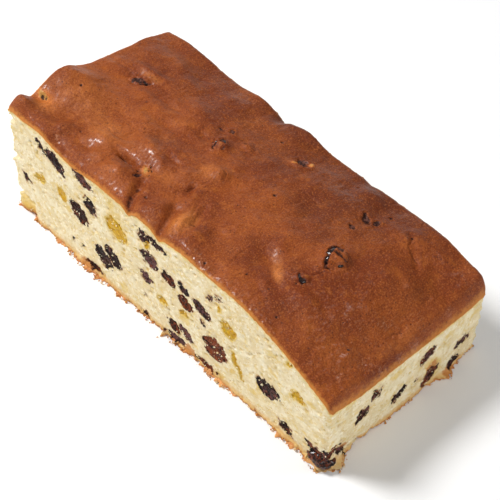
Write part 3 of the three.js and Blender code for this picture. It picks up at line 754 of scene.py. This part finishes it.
CREASES = (
    # depth, half width, darkness, which paints shade into the crease and, in the short dark lines
    # over raisins, the dark of the skin cracked over them, then the points of the line
    (1.0, 0.9, 1.1, (-45, -31), (-42.5, -28.6), (-38, -28.2), (-34, -29.4)),
    (0.6, 1.5, 1.2, (-24, -37), (-22, -42), (-20.5, -44.5), (-18, -47)),
    (0.3, 1.4, 0.4, (-4, -36), (-2, -40), (-1, -44), (0.6, -47)),
    (0.7, 0.8, 0.6, (-10.5, -23), (-9, -20), (-8, -17)),
    (0.4, 0.7, 0.4, (-8, -17), (-7, -12), (-8, -8)),
    (0.5, 0.7, 0.5, (0, -24), (1.5, -28), (3.5, -31)),
    (0.4, 0.6, 0.5, (5, -36), (7, -39), (9, -42)),
    (0.5, 0.6, 0.6, (68.5, 33), (69.6, 29), (71, 27.4), (75, 26.6), (79, 26)),
    (0.4, 0.5, 0.6, (62.5, 29.6), (64.5, 28.4), (66.5, 27.6)),
    (0.7, 0.5, 0.8, (58.4, -9.6), (59.4, -12), (57.6, -16.5), (55.2, -18)),
    (0.5, 0.5, 0.7, (92.2, 2), (93, -1.5), (91.4, -4), (93, -5)),
    (0.4, 0.6, 0.5, (84.5, 14), (86, 16.5), (87, 19)),
    (0.4, 0.6, 0.5, (89.5, 16), (90.4, 19), (90.6, 22)),
    (1.0, 1.0, 1.9, (57.4, 2.4), (55.6, 1), (55.6, -3), (56.8, -7), (59, -9.6), (61.4, -8)),
    (0.6, 0.8, 1.7, (56.6, -3.4), (59.6, -3), (62.8, -2.2)),
    (0.5, 0.5, 1.0, (58.8, -5), (60.2, -6.8)),
    (0.6, 0.7, 1.9, (54.8, -20.2), (56.4, -21.6), (58.2, -22.8), (60, -22)),
    (0.5, 0.5, 1.2, (58.2, -22.8), (57.2, -25)),
    (0.3, 0.7, 0.3, (64.5, 1), (65.5, -3), (64.5, -8)),
    (0.5, 0.6, 0.6, (-17, 19.6), (-15, 17.6), (-12.8, 16.6)),
    (0.5, 0.5, 0.5, (-9, -3), (-4.6, -4.2), (-3.2, -7)),
    (0.5, 0.6, 0.6, (-16.5, -6.2), (-14, -5.2)), (0.4, 1.6, 0.4, (-95, 9), (-86, 9.6), (-80, 8.6)),
    (0.2, 1.2, 0.2, (18, 14), (24, 16), (32, 15)),
    (0.5, 0.7, 0.4, (-47, -30), (-45, -34), (-46, -40)),
    (0.4, 0.6, 0.3, (34, -25), (31, -30), (33, -38)), (0.3, 0.5, 0.4, (40, -36), (39, -41)),
    (0.4, 0.6, 0.4, (-62, -22), (-54, -24), (-48, -21)),
)
OPENINGS = np.array([
    # dark places where a raisin shows or has burnt through: x, y, radius along, radius across, turn
    (-78.4, 7.8, 2.0, 1.6, 40), (-74.6, 9.8, 4.2, 1.5, 16), (-22.3, 5.2, 0.6, 1.7, 12),
    (-20.4, 8.8, 1.9, 1.2, 10), (-18.3, 6.8, 0.5, 1.1, 0), (-21.2, 3.4, 0.6, 0.5, 0),
    (-29, -32.4, 1.0, 1.9, -20), (-30.4, -30.4, 1.3, 0.7, 10), (-27.4, -26, 0.8, 0.5, -30),
    (-26.4, -28.4, 0.5, 1.1, 20), (-28.6, -29.2, 0.5, 0.45, 0), (-31.6, -27.8, 0.45, 0.55, 0),
    (-30.4, -26, 0.55, 0.4, 0), (-28, -27, 0.35, 0.55, 30), (-29.4, -24.6, 0.6, 0.35, -40),
    (7.6, 29.2, 2.9, 2.4, 0), (55.6, -2.8, 1.5, 3.5, 4), (57.6, 0.4, 2.7, 1.7, -20),
    (57.2, -7.4, 1.1, 1.8, 22), (60.2, -9.2, 0.9, 0.5, 20), (60.6, -2.8, 2.2, 0.7, 10),
    (57.4, -22.2, 2.0, 0.8, -25), (55.4, -20.6, 0.7, 0.8, 0), (58.8, -21.8, 0.6, 1.2, 0),
    (57.2, -24.6, 0.4, 0.9, 10), (49.2, 25.2, 2.8, 1.5, -30), (53, 27.2, 1.9, 1.2, 70),
    (46.8, 26.8, 1.0, 1.0, 0), (49, 16.2, 2.1, 1.2, -20), (54.4, 35, 0.8, 0.9, 0),
    (-24.6, 18, 1.7, 1.2, -40), (-15.6, 17.2, 0.9, 0.6, -30), (-7.6, 32.2, 0.8, 0.7, 0),
    (-95, -31, 1.4, 0.7, -20), (-93.4, -30.4, 0.6, 0.5, 0), (33, 37.6, 0.6, 0.6, 0),
    (-29.4, 15.4, 0.9, 0.6, 0), (-75, 25, 0.7, 0.5, 0), (68.6, 32.4, 0.7, 0.5, 0),
    (-85, -17, 0.65, 0.65, 0), (-17, -37.8, 0.8, 0.7, 0), (7.8, -33.6, 0.6, 0.5, 0),
    (10.5, -12, 0.55, 0.5, 0), (62.2, -40, 0.6, 0.6, 0), (52, -34.4, 0.55, 0.5, 0),
    (41, -35.6, 0.45, 0.7, 0), (25.4, -43.8, 0.6, 0.5, 0), (-14.4, -26, 0.45, 0.4, 0),
    (76.4, -24.4, 0.4, 0.5, 0), (79, -19.8, 0.4, 0.4, 0), (-62, 1, 0.5, 0.5, 0),
    (27.4, 22, 0.4, 0.4, 0), (-26.6, 34, 0.6, 0.4, 0), (16.6, 3.6, 0.9, 0.7, 0),
    (87.4, -25, 0.5, 0.7, 0), (-66, -33, 0.5, 0.45, 0), (35.4, -4, 0.5, 0.4, 0),
])
SHADES = np.array([
    # lighter above 0, mostly how the bake differs; some rows are painted light: the lit side of a
    # hollow at (45, -22) and (50, -27), and the shining front edge strip at (24, -44): x, y, radius
    # along, radius across, turn, amount
    (95, 0, 4.5, 36, 0, 0.75), (-73, 14, 9, 3, 8, 1.3), (-46, 15, 5, 7, 0, 0.8),
    (-26, 20, 7, 4, 0, 0.8), (26, -3, 12, 6, 0, -0.2), (-90, -34, 8, 6, 0, 0.6),
    (-60, -20, 12, 5, 0, 0.4), (-76, -20, 24, 14, 0, 0.15), (24, -44, 14, 4, 0, 0.4),
    (4, -36, 6, 11, 0, 1.15), (-11, -8, 8, 7, 0, 0.6), (45, -22.4, 9, 4, -38, 0.8),
    (50, -27.2, 6, 2.6, -32, 0.8), (66, -22, 6, 6, 0, 0.4), (5.6, 26.4, 2.8, 1.8, 30, 3.0),
    (11.4, 31.2, 1.8, 2.0, 0, 3.0), (-95.5, -30.6, 4.4, 1.8, 0, 2.2),
    (-29, -27.8, 3.4, 1.7, -40, 2.2), (-20, -24, 7, 5, 0, 0.4), (-38, -40, 10, 4, 0, 0.2),
    (-14, 15.6, 2, 1.4, 0, 0.8), (-20.2, 6.6, 1.6, 2, 0, 1.0), (60, -5.4, 2.6, 3, 0, -0.2),
    (58, -19.6, 1.6, 1.8, 0, 1.0), (24, -4.6, 1.6, 1.0, 0, 0.6), (-5.6, 0.4, 1.4, 1.2, 0, 0.9),
    (77.6, 13, 2, 2, 0, 0.6), (-58, -27, 9, 4, 0, 0.5), (-6, -45, 6, 4, 0, 0.3),
    (20, 22, 9, 7, 0, 0.3), (-80, -20, 14, 8, 0, 0.2), (-40, -11, 13, 6.5, 0, -1.1),
    (-88, 1, 6, 4, 0, -0.4), (30, 8, 9, 10, 0, -0.4), (45, 0, 7, 8, 0, -0.5),
    (28, -32, 9, 6, 0, -0.4), (60, -38, 9, 6, 0, -0.4), (86, 12, 10, 16, 0, -0.3),
    (90, 20, 8, 8, 0, -0.2), (-62, -16, 9, 5, 0, -0.3), (-39, -32.8, 8, 5, 0, -1.1),
    (-15, -39, 6, 6, 0, -0.4), (-70, -2, 12, 4, 0, -0.2), (60, 40, 30, 5, 0, -0.4),
    (-10, 42, 30, 5, 0, -0.2), (-21, -43, 1.6, 4, 30, -1.0), (30, -21, 6, 5, 0, -0.5),
    (37, -27, 6, 2, -30, -0.4), (66, 33, 5, 3, 0, -0.4), (-60, 40, 20, 5, 0, -0.2),
    (8, -24, 5, 6, 0, -0.3),
])
GLOSSY = np.array([
    # where syrup or a taut skin shines, which adds coat there and also paints a pale pink sheen
    # into the colour: x, y, radius along, radius across, turn, amount
    (-40, -24, 6.5, 4.6, -12, 1.3), (-33, -20, 4, 5.4, 20, 1.2), (-56.5, -32.4, 4, 2.6, 0, 1.0),
    (-70, -42, 5, 1.8, -50, 1.2), (-51, -39, 3, 3, 0, 0.7), (24, -46, 14, 4, 0, 1.0),
    (52, -45, 18, 4, 0, 0.6), (-95, -27, 4, 3, 0, 1.0), (88, -20, 16, 20, 0, 0.4),
    (-8, -44, 8, 4, 0, 0.8), (-33, -44, 9, 2, 0, 0.9), (40.5, -20.5, 4.4, 3.0, -30, 0.5),
    (88.8, -4.5, 2.4, 3.4, 0, 1.1), (99, 2.3, 2, 3, 0, 1.1), (94, -21.6, 2, 3.6, 0, 1.2),
    (98.5, -16, 1.6, 2.6, 0, 1.0), (98.7, -5.6, 1.6, 2.6, 0, 1.0), (92.3, -35, 2.6, 3, 0, 1.1),
    (86.9, -28, 2, 4, 0, 1.2), (77, -12.4, 2, 3, 0, 1.0), (97.6, 24.4, 2, 3.4, 0, 0.9),
    (78.8, -16.9, 2, 2.4, 0, 1.0), (-72, 12, 5, 2.4, 10, 0.6), (-16, -18, 6, 5, 0, 0.5),
    (94, 6, 6, 14, 0, 0.4), (-60, 20, 8, 5, 0, 0.3), (20, -10, 8, 5, 0, 0.3),
    (94, 40, 6, 6, 0, 0.3), (30, 30, 10, 6, 0, 0.3), (-40, 40, 12, 4, 0, 0.4),
    (60, 42, 14, 4, 0, 0.4), (-95, 10, 4, 12, 0, 0.4), (66, -30, 8, 6, 0, 0.4),
])

CRUST_CORNER = 2.2    # radius of its upright edges
LUMP_RISE = 2.1       # what the rises of LUMPS are multiplied by
NOWHERE = -99.0       # a height far below the slab
SKIN_OVER = 0.8       # how far the skin stands over a raisin that it is drawn over
DRAPE = 0.35          # how softly it bends round that raisin


def drawn_over(x, y, fruit):
    """Height of the upper side of a fruit over each point of the plan, far below where it isn't:
    the higher root of the ellipsoid's equation along an upright line."""
    matrix = (fruit["axes"].T / fruit["half"] ** 2) @ fruit["axes"]
    dx, dy = x - fruit["middle"][0], y - fruit["middle"][1]
    b = matrix[0, 2] * dx + matrix[1, 2] * dy
    c = matrix[0, 0] * dx * dx + 2 * matrix[0, 1] * dx * dy + matrix[1, 1] * dy * dy - 1
    inner = b * b - matrix[2, 2] * c
    upper = fruit["middle"][2] + (np.sqrt(np.maximum(inner, 0)) - b) / matrix[2, 2]
    return np.where(inner > 0, upper, NOWHERE)


columns, rows = np.linspace(-HALF_LONG, HALF_LONG, 441), np.linspace(-HALF_WIDE, HALF_WIDE, 208)
x, y = np.meshgrid(columns, rows, indexing="ij")
edge = np.minimum(HALF_LONG - np.abs(x), HALF_WIDE - np.abs(y))
u = np.clip((np.abs(x) - HALF_LONG) / CRUST_CORNER + 1, 0, 1)
v = np.clip((np.abs(y) - HALF_WIDE) / CRUST_CORNER + 1, 0, 1)
x -= np.sign(x) * CRUST_CORNER * u * (1 - np.sqrt(1 - v * v / 2))
y -= np.sign(y) * CRUST_CORNER * v * (1 - np.sqrt(1 - u * u / 2))
skin = np.stack((x, y, np.zeros_like(x)), -1)
height = top_height(x, y) + LUMP_RISE * spots(x, y, LUMPS) * smooth(edge / 2.0 + 0.3)
height += (0.9 * grain(skin, 13, 71, 2) + 0.3 * grain(skin, 5.5, 73, 2)) * smooth(edge / 4 + 0.1)
height += 0.16 * grain(skin * (1, 0.7, 1), 2.2, 77, 2) + 0.06 * grain(skin * (1, 0.8, 1), 1.15, 75)
drawn_end = smooth((x - 52) / 40) * smooth((12 - y) / 40)
shine = np.clip(spots(x, y, GLOSSY), 0, 1)
glazed_strip = smooth((-40 - y) / 3) * smooth((x - 8) / 8) * smooth((78 - x) / 14)
ridges = 1 - 2 * np.abs(grain(skin * (1, 0.6, 1), 2.3, 89, 2))
height += 0.22 * ridges * np.maximum(drawn_end, glazed_strip)
height += 0.1 * (1 - 2 * np.abs(grain(skin * (1, 0.7, 1), 1.4, 95, 2))) * (0.3 + 0.7 * shine)
for fruit in raisins:
    if fruit["node"].startswith("raisin_top"):
        over = drawn_over(x, y, fruit) + SKIN_OVER
        gap = over - height
        height += np.log1p(np.exp(np.clip(gap / DRAPE, -30, 30))) * DRAPE * (over > 0)
crease = np.zeros_like(x)
wander = 0.5 * grain(skin, 3.2, 79, 2)
gaps = smooth(0.75 + grain(skin, 1.1, 91))
for depth, half_width, dark_part, *line in CREASES:
    off = np.min([to_line(x + wander, y - wander, *p, *q) for p, q in zip(line, line[1:])], axis=0)
    end = np.min([np.hypot(x - px, y - py) for px, py in (line[0], line[-1])], axis=0)
    fade = smooth(0.35 + end / 4) if line[-1][1] > -46 else 1
    height += 0.25 * depth * bell(off / (3 * half_width)) * fade
    height -= 1.15 * depth * bell(off / half_width) * fade
    broken = gaps if dark_part > 0.75 else 1.0
    # painted shade along the crease; where the crust is cracked over a raisin, the raisin's dark
    crease = np.maximum(crease, dark_part * bell(off / (half_width * 0.9)) * fade * broken)
open_part = np.zeros_like(x)
uneven = 0.4 * grain(skin, 1.1, 81, 2)
for row in OPENINGS:
    measure = oval(x, y, *row) + uneven
    open_part = np.maximum(open_part, smooth((1.15 - measure) / 0.5))
    height += 0.25 * bell((measure - 1.5) / 0.45) * row[2:4].min()
small = pits(skin, 8.0, 83, -0.25, 0.06)
open_part = np.maximum(open_part, 0.8 * smooth(small * 3))
height -= 0.7 * open_part
# the colour is also laid darker towards the right end, and darker towards the back except near the
# right end
bake_and_painted_light = spots(x, y, SHADES) + 0.26 - 0.5 * smooth((x + 100) / 200)
bake_and_painted_light -= 0.8 * smooth((y + 8) / 30) * smooth((85 - x) / 45)

sheet = np.stack((x, y, height), -1)
grid = np.arange(x.size).reshape(x.shape)
rim = np.concatenate((grid[:-1, 0], grid[-1, :-1], grid[:0:-1, -1], grid[0, :0:-1]))
border = sheet.reshape(-1, 3)[rim]
away = out_of_core(border[:, :2], CRUST_CORNER)[1]
bite = 0.3 * grain(border * (1, 1, 0), 1.5, 85, 2)
drops = (5.0, 1.6, 0.85, 0.5, 0.22)
walls = []
for drop, proud in zip(drops, (-6.0, -1.0, -0.12, 0.1, 0.12)):
    wall = border.copy()
    wall[:, :2] += away * (proud + 0.08 * grain(border, 1.2, 87))[:, None]
    wall[:, 2] -= drop + (bite if 0.3 < drop < 1 else 0)
    walls.append(wall)
wall_points, (wall_sides, wall_ends) = closed_stack(np.array(walls))
count = len(border)
first = x.size
quads = np.stack((grid[:-1, :-1], grid[1:, :-1], grid[1:, 1:], grid[:-1, 1:]), -1)
last = first + (len(walls) - 1) * count + np.arange(count)
seam = np.stack((last, np.roll(last, -1), np.roll(rim, -1), rim), -1)
down = np.append(np.repeat(drops, count), drops[0])
zeros = np.zeros(len(down))
top_crust = new_piece(
    "top_crust", np.vstack((sheet.reshape(-1, 3), wall_points[:-1])),
    [quads.reshape(-1, 4), wall_sides + first, seam, wall_ends[:count] + first], "crumb", "cake",
    crease=np.append(crease, zeros), opening=np.append(open_part, zeros),
    below=np.append(np.zeros(x.size), down), inset=np.append(edge, zeros),
    tone=np.append(bake_and_painted_light, np.append(np.tile(bake_and_painted_light.reshape(-1)[rim], len(walls)), 0)),
    gloss=np.append(shine, zeros))

shiny = Finish("top_crust", Subsurface_Weight=0.02, Subsurface_Radius=(0.002, 0.0008, 0.0004),
               Subsurface_Scale=0.5, Specular_IOR_Level=0.2, Coat_Roughness=0.23)
ALONG = (1.0, 0.6, 1.0)    # grain that is longer across the slab
broad = shiny.grain(26.0, 3.0, 0.5)
patchy = shiny.grain(6.0, 5.0, 0.65)
uneven_bake = (shiny.grain(2.6, 4.0, 0.65) - 0.5) * 0.4
tone = shiny.attribute("tone") * (shiny.grain(1.6, 4.0, 0.7) * 2.2 - 0.1) + uneven_bake
freckle = shiny.grain(0.6, 2.0, 0.7, (1.0, 0.8, 1.0))
spot = shiny.cells(2.2).ramp(0.2, 0.08) * shiny.grain(7.0).ramp(0.42, 0.55)
gloss = shiny.attribute("gloss")
# painted sheen: pale pink specks laid into the colour where the skin is glossy, standing in for
# small highlights
painted_sheen = shiny.grain(1.2, 4.0, 0.75, ALONG).ramp(0.5, 0.64) * gloss * patchy.ramp(0.4, 0.6)
# painted shade in the creases, with dark cracks over raisins
crease_shade_and_crack, inset = shiny.attribute("crease"), shiny.attribute("inset")
opening, below = shiny.attribute("opening"), shiny.attribute("below")
hollow = opening + (shiny.grain(0.9, 2.0) - 0.5) * 1.1
burnt = shiny.blend(
    shiny.grain(1.5, 3.0, 0.6).ramp(0.5, 0.62), linear(38, 18, 16), linear(112, 70, 58))
rim_line = inset + (shiny.grain(2.0, 3.0, 0.6) - 0.5) * 2.0
brown = shiny.layers(
    shiny.blend(broad.ramp(0.35, 0.65), linear(122, 51, 14), linear(154, 76, 26)),
    (patchy.ramp(0.48, 0.68) * 0.5, (120, 50, 14)), (patchy.ramp(0.47, 0.3) * 0.5, (180, 98, 36)),
    # painted light and shade: a high tone lays lighter colour, as on the lit hollow and the shining
    # edge strip, and a low one darker
    (tone.ramp(0.0, 1.4), (202, 119, 56)), (tone.ramp(1.3, 2.2), (196, 146, 74)),
    (tone.ramp(0.0, -1.4) * 0.75, (92, 38, 12)), (freckle.ramp(0.52, 0.66) * 0.38, (198, 118, 60)),
    (freckle.ramp(0.48, 0.34) * 0.46, (88, 36, 14)), (spot * 0.75, (70, 28, 14)),
    # the painted sheen specks, then painted shade in the creases
    (painted_sheen * 0.7, (206, 142, 104)), (crease_shade_and_crack.ramp(0.1, 1.2) * 0.85, (60, 26, 14)),
    (hollow.ramp(0.25, 0.8) * 0.92, burnt), (rim_line.ramp(1.3, 0.0) * 0.8, (206, 132, 58)),
    (below.ramp(0.1, 0.5), crumb_colour(shiny, below, below + 20.0, opening)))
ripple = shiny.relief(shiny.grain(1.7, 4.0, 0.7, ALONG), 0.5, 0.9)
fine = shiny.relief(shiny.grain(0.8, 3.0, 0.7), 0.35, 0.8, ripple)
slick = (gloss * 0.75 + 0.1) * shiny.grain(1.1, 4.0, 0.75, ALONG).ramp(0.42, 0.6)
dull = (inset.ramp(7.0, 1.0) + crease_shade_and_crack + opening) * 0.22
top_crust.data.materials.append(shiny.put(
    Base_Color=brown, Roughness=freckle * 0.25 + 0.3 - slick * 0.12 + dull, Coat_Weight=slick,
    Normal=fine))

# ---------------------------------------------------------------------------------------------
# The raisins. Dark, wrinkled, sticky fruit. Where the knife cut one, its face shows purple-grey
# flesh inside a black skin, some with a red-brown, clear edge.
CUT_GROWTH = 1.12    # a cut fruit fills its pocket, whose rim the crumb's relief has moved


def fruit_body(fruit, seed, rows, count, lump, wrinkle):
    """An ellipsoid by two angles, its pole towards the cut face, made uneven by broad noise and
    wrinkled by ridges, with all that stood past the knife laid flat in the cut face."""
    faces = fruit["faces"]
    axes, half = fruit["axes"], fruit["half"] * (CUT_GROWTH if faces else 1.0)
    if len(faces) == 1:
        axis, at = CUTS[faces[0]]
        order = np.argsort(np.abs(axes[:, axis]))
        axes, half = axes[order], half[order]
        axes = axes * np.array([[1], [1], [np.sign(axes[2, axis] * at)]])
    if np.linalg.det(axes) < 0:
        axes = axes * np.array([[-1], [1], [1]])
    polar = (np.pi * (np.arange(rows) + 0.5) / rows)[::-1, None]
    around = 2 * np.pi * np.arange(count)[None] / count
    ball = np.stack((np.sin(polar) * np.cos(around), np.sin(polar) * np.sin(around),
                     np.cos(polar) + 0 * around), -1)
    size = 1 + lump * grain(ball + 3.1 * seed, 1.1, seed)
    size += 0.5 * lump * grain(ball + seed, 0.5, seed + 1)
    local = ball * size[..., None] * half
    ridge = 1 - 2 * np.abs(grain(local + 9.7 * seed, 1.9, seed + 2, 2))
    local = local * (1 + wrinkle * ridge / half.mean())[..., None]
    points = fruit["middle"] + local @ axes
    cut = np.zeros(points.shape[:-1])
    for face in faces:
        axis, at = CUTS[face]
        outside = (points[..., axis] - at) * np.sign(at)
        rim = np.clip(np.hypot(local[..., 0] / half[0], local[..., 1] / half[1]), 0, 1.2)
        flesh = 0.35 + 0.45 * grain(points, 1.3, seed + 4, 2) - 0.2 * smooth((rim - 0.7) / 0.3)
        points[..., axis] = np.where(outside > -flesh, at - np.sign(at) * flesh, points[..., axis])
        cut = np.maximum(cut, smooth((outside + flesh) / 0.3))
    return points, cut, np.clip(np.linalg.norm(local / half, axis=-1), 0, 1.3)


def join(bodies):
    """Several closed stacks, each with rows of numbers, as one set of points, faces and numbers.
    The middle of each fan takes the mean of the loop next to it."""
    points, quads, fans, numbers, start = [], [], [], [], 0
    for loops, *values in bodies:
        more, (sides, ends) = closed_stack(loops)
        points.append(more)
        quads.append(sides + start)
        fans.append(ends + start)
        numbers.append([np.append(v.ravel(), (v[0].mean(), v[-1].mean())) for v in values])
        start += len(more)
    return np.vstack(points), [np.vstack(quads), np.vstack(fans)], np.concatenate(numbers, axis=1)


FLESH_TONES = {
    # how red-brown the flesh is, and how light
    "raisin_front_01": (0.4, 0.0), "raisin_front_02": (0.15, 0.3), "raisin_front_03": (0.35, 0.8),
    "raisin_front_04": (1.0, 0.2), "raisin_front_05": (0.3, 0.2), "raisin_front_06": (0.15, 0.25),
    "raisin_front_07": (0.6, 0.1), "raisin_front_10": (0.5, 0.1), "raisin_front_11": (0.1, 0.7),
    "raisin_front_12": (0.2, 0.9), "raisin_front_13": (0.9, 0.5), "raisin_front_14": (0.1, 0.3),
    "raisin_front_15": (1.0, 0.6), "raisin_front_16": (0.5, 0.4), "raisin_front_19": (0.1, 0.9),
    "raisin_front_20": (0.5, 1.0), "raisin_front_22": (0.2, 0.4), "raisin_corner_01": (0.8, 0.2),
}
bodies = []
for number, fruit in enumerate(raisins):
    whole = fruit["node"].startswith("raisin_")
    hanging = fruit["node"] == "raisin_corner_01"
    rows, count = (30, 48) if whole else (14, 24)
    lump, wrinkle = (0.22, 0.7) if hanging else (0.12, 0.3)
    shape, cut, edge_part = fruit_body(fruit, 100 + 7 * number, rows, count, lump, wrinkle)
    chance = hashed(np.array([[number, 1, 2], [number, 3, 4]]), 5)
    red, light = FLESH_TONES.get(fruit["node"], (0.5 * chance[0], chance[1]))
    rim_red = 0.6 * smooth((edge_part - 0.7) / 0.4) * hashed(np.array([number, 8, 9]), 5)
    red = 0.8 * red - 0.1 + rim_red
    bodies.append((shape, cut, np.broadcast_to(red, cut.shape), np.full(cut.shape, light)))
points, faces, numbers = join(bodies)
raisin_nodes = [f["node"] for f in raisins if "_" in f["node"]]
raisin_piece = new_piece("raisins", points, faces, "raisin", *raisin_nodes,
                         cut=numbers[0], red=numbers[1], light=numbers[2])

dark = Finish("raisin", Subsurface_Weight=0.1, Subsurface_Radius=(0.0015, 0.0005, 0.0003),
              Subsurface_Scale=0.5, Specular_IOR_Level=0.15, Coat_Roughness=0.14)
fold = dark.grain(1.5, 4.0, 0.7)
cut, red = dark.attribute("cut"), dark.attribute("red")
patch = dark.grain(3.0, 5.0, 0.75) + dark.attribute("light") * 0.2 - 0.12
ruddy = dark.blend(patch.ramp(0.42, 0.6), linear(48, 17, 8), linear(136, 62, 26))
redness = red + (dark.grain(2.2, 3.0) - 0.5) * 1.6
flesh = dark.layers(
    dark.blend(patch.ramp(0.42, 0.58), linear(30, 12, 12), linear(112, 72, 70)),
    (redness.ramp(0.3, 0.75), ruddy),
    (dark.grain(1.1, 3.0, 0.7).ramp(0.52, 0.62) * 0.85, (22, 8, 6)))
colour = dark.layers(
    dark.blend(fold.ramp(0.42, 0.66), linear(20, 8, 6), linear(66, 28, 16)),
    (red.ramp(0.3, 0.7) * fold.ramp(0.5, 0.62), (126, 56, 22)), (cut.ramp(0.2, 0.8), flesh))
raisin_piece.data.materials.append(dark.put(
    Base_Color=colour, Roughness=fold * 0.3 + 0.35, Coat_Weight=0.7 - cut * 0.68,
    Normal=dark.relief(dark.grain(1.0, 4.0, 0.7), 0.9, 1.0)))

# ---------------------------------------------------------------------------------------------
# The candied peel. Small cubes of lemon peel, soaked in sugar till they are clear and yellow, and
# cut through with the cake.
bodies = []
for number, fruit in enumerate(peels):
    shape, cut, _ = fruit_body(fruit, 500 + 7 * number, 22, 40, 0.2, 0.12)
    bodies.append((shape, cut))
points, faces, _ = join(bodies)
peel_nodes = [f["node"] for f in peels if "_" in f["node"]]
peel_piece = new_piece("peel", points, faces, "peel", *peel_nodes)

clear = Finish("peel", Subsurface_Weight=0.25, Subsurface_Radius=(0.002, 0.0014, 0.0005),
               Subsurface_Scale=1.0, Specular_IOR_Level=0.3, Coat_Weight=0.06, Coat_Roughness=0.3)
cloud, grit = clear.grain(1.8, 3.0, 0.6), clear.grain(0.5, 3.0, 0.6)
yellow = clear.layers(
    clear.blend(cloud.ramp(0.35, 0.65), linear(190, 140, 4), linear(212, 166, 18)),
    (grit.ramp(0.6, 0.75) * 0.5, (164, 122, 40)))
peel_piece.data.materials.append(clear.put(
    Base_Color=yellow, Roughness=grit * 0.3 + 0.35, Normal=clear.relief(grit, 0.25, 0.7)))

# ---------------------------------------------------------------------------------------------
# Loose crumbs. The knife dragged bits of crumb over the fruit and left crumbs and flakes of the
# bottom crust along the foot of the slab.
FACE_CRUMBS, FOOT_CRUMBS = 4.0, 1.6    # in a face and along its foot, for a mm of half its length
draw = np.random.default_rng(7)


def chips(middles, sizes, flatness):
    """Small uneven lumps: the 12 corners of an icosahedron, each moved out or in at random,
    squeezed along a random direction and turned at random, for all lumps at once."""
    golden = (1 + 5 ** 0.5) / 2
    corners = np.array([(a, b * golden, 0) for a in (-1, 1) for b in (-1, 1)])
    corners = np.vstack((corners, corners[:, [2, 0, 1]], corners[:, [1, 2, 0]]))
    corners /= np.hypot(1, golden)
    apart = np.linalg.norm(corners[:, None] - corners[None], axis=-1)
    near = apart < 1.2
    triples = [(i, j, k) for i in range(12) for j in range(i + 1, 12) for k in range(j + 1, 12)
               if near[i, j] and near[j, k] and near[i, k]]
    faces = np.array([t if np.linalg.det(corners[list(t)]) > 0 else t[::-1] for t in triples])
    count = len(middles)
    shape = corners * draw.uniform(0.4, 1.5, (count, 12, 1)) * sizes[:, None, None]
    shape[..., 2] *= flatness[:, None]
    turn = np.linalg.qr(draw.normal(size=(count, 3, 3)))[0]
    turn[np.linalg.det(turn) < 0] *= -1
    points = middles[:, None] + shape @ turn
    faces = faces[None] + 12 * np.arange(count)[:, None, None]
    return points.reshape(-1, 3), faces.reshape(-1, 3)


middles, sizes, browned = [], [], []
for fruit in fruits:
    if not fruit["faces"]:
        continue
    axis, at = CUTS[fruit["faces"][0]]
    dusted = fruit["node"] == "raisin_front_20"
    count = 7 if dusted else int(1 + 0.7 * fruit["half"].max())
    angle = draw.uniform(0, 2 * np.pi, count)
    far = draw.uniform(0.3 if dusted else 0.8, 1.15, count)
    flat = np.argsort(np.abs(fruit["axes"][:, axis]))[:2]
    across, along = fruit["axes"][flat] * fruit["half"][flat, None]
    spot = fruit["middle"] + (far * np.cos(angle))[:, None] * across
    spot = spot + (far * np.sin(angle))[:, None] * along
    spot[:, axis] = at - np.sign(at) * draw.uniform(0.0, 0.4, count)
    middles.append(spot)
    sizes.append(draw.uniform(0.1, 0.28 if dusted else 0.42, count))
    browned.append(np.full(count, 0.1))
for face, (axis, at) in CUTS.items():
    span = HALF_LONG if axis == 1 else HALF_WIDE
    count = int(FACE_CRUMBS * span)
    spot = np.empty((count, 3))
    spot[:, 1 - axis] = draw.uniform(-span + 1, span - 1, count)
    spot[:, axis] = at - np.sign(at) * draw.uniform(0.1, 0.45, count)
    top = top_height(*np.clip(spot[:, :2], (-99.5, -46.5), (99.5, 46.5)).T) - 2
    spot[:, 2] = 2 + (top - 2) * draw.uniform(0, 1, count)
    middles.append(spot)
    sizes.append(draw.uniform(0.2, 0.6, count))
    browned.append(np.zeros(count))
    foot_count = int(FOOT_CRUMBS * span)
    spot = np.empty((foot_count, 3))
    spot[:, 1 - axis] = draw.uniform(-span, span, foot_count)
    spot[:, axis] = at
    outward = np.zeros((foot_count, 2))
    outward[:, axis] = np.sign(at)
    size = 0.2 + 0.6 * draw.uniform(0, 1, foot_count) ** 2
    past = lip_reach(spot[:, :2], outward) - 0.9 + draw.normal(0.2, 0.6, foot_count)
    spot[:, axis] = at + np.sign(at) * past
    spot[:, 2] = 0.3 * size + draw.uniform(0, 1, foot_count) ** 2 * 1.4
    middles.append(spot)
    sizes.append(size)
    browned.append(draw.uniform(0.3, 1, foot_count))
middles, sizes, browned = np.vstack(middles), np.concatenate(sizes), np.concatenate(browned)
points, faces = chips(middles, sizes, draw.uniform(0.25, 0.8, len(sizes)))
points[:, 2] = np.maximum(points[:, 2], 0.02)
loose_crumbs = new_piece("loose_crumbs", points, [faces], "crumb", browned=np.repeat(browned, 12))

bits = Finish("loose_crumbs", Roughness=0.85, Specular_IOR_Level=0.25)
speckle = bits.grain(1.0, 3.0, 0.7)
pale = bits.blend(speckle.ramp(0.4, 0.6), linear(226, 206, 152), linear(242, 230, 200))
toasted = bits.blend(speckle.ramp(0.42, 0.58), linear(170, 98, 40), linear(216, 158, 86))
loose_crumbs.data.materials.append(bits.put(
    Base_Color=bits.blend(bits.attribute("browned").ramp(0.15, 0.6), pale, toasted),
    Normal=bits.relief(speckle, 0.3, 1.0)))
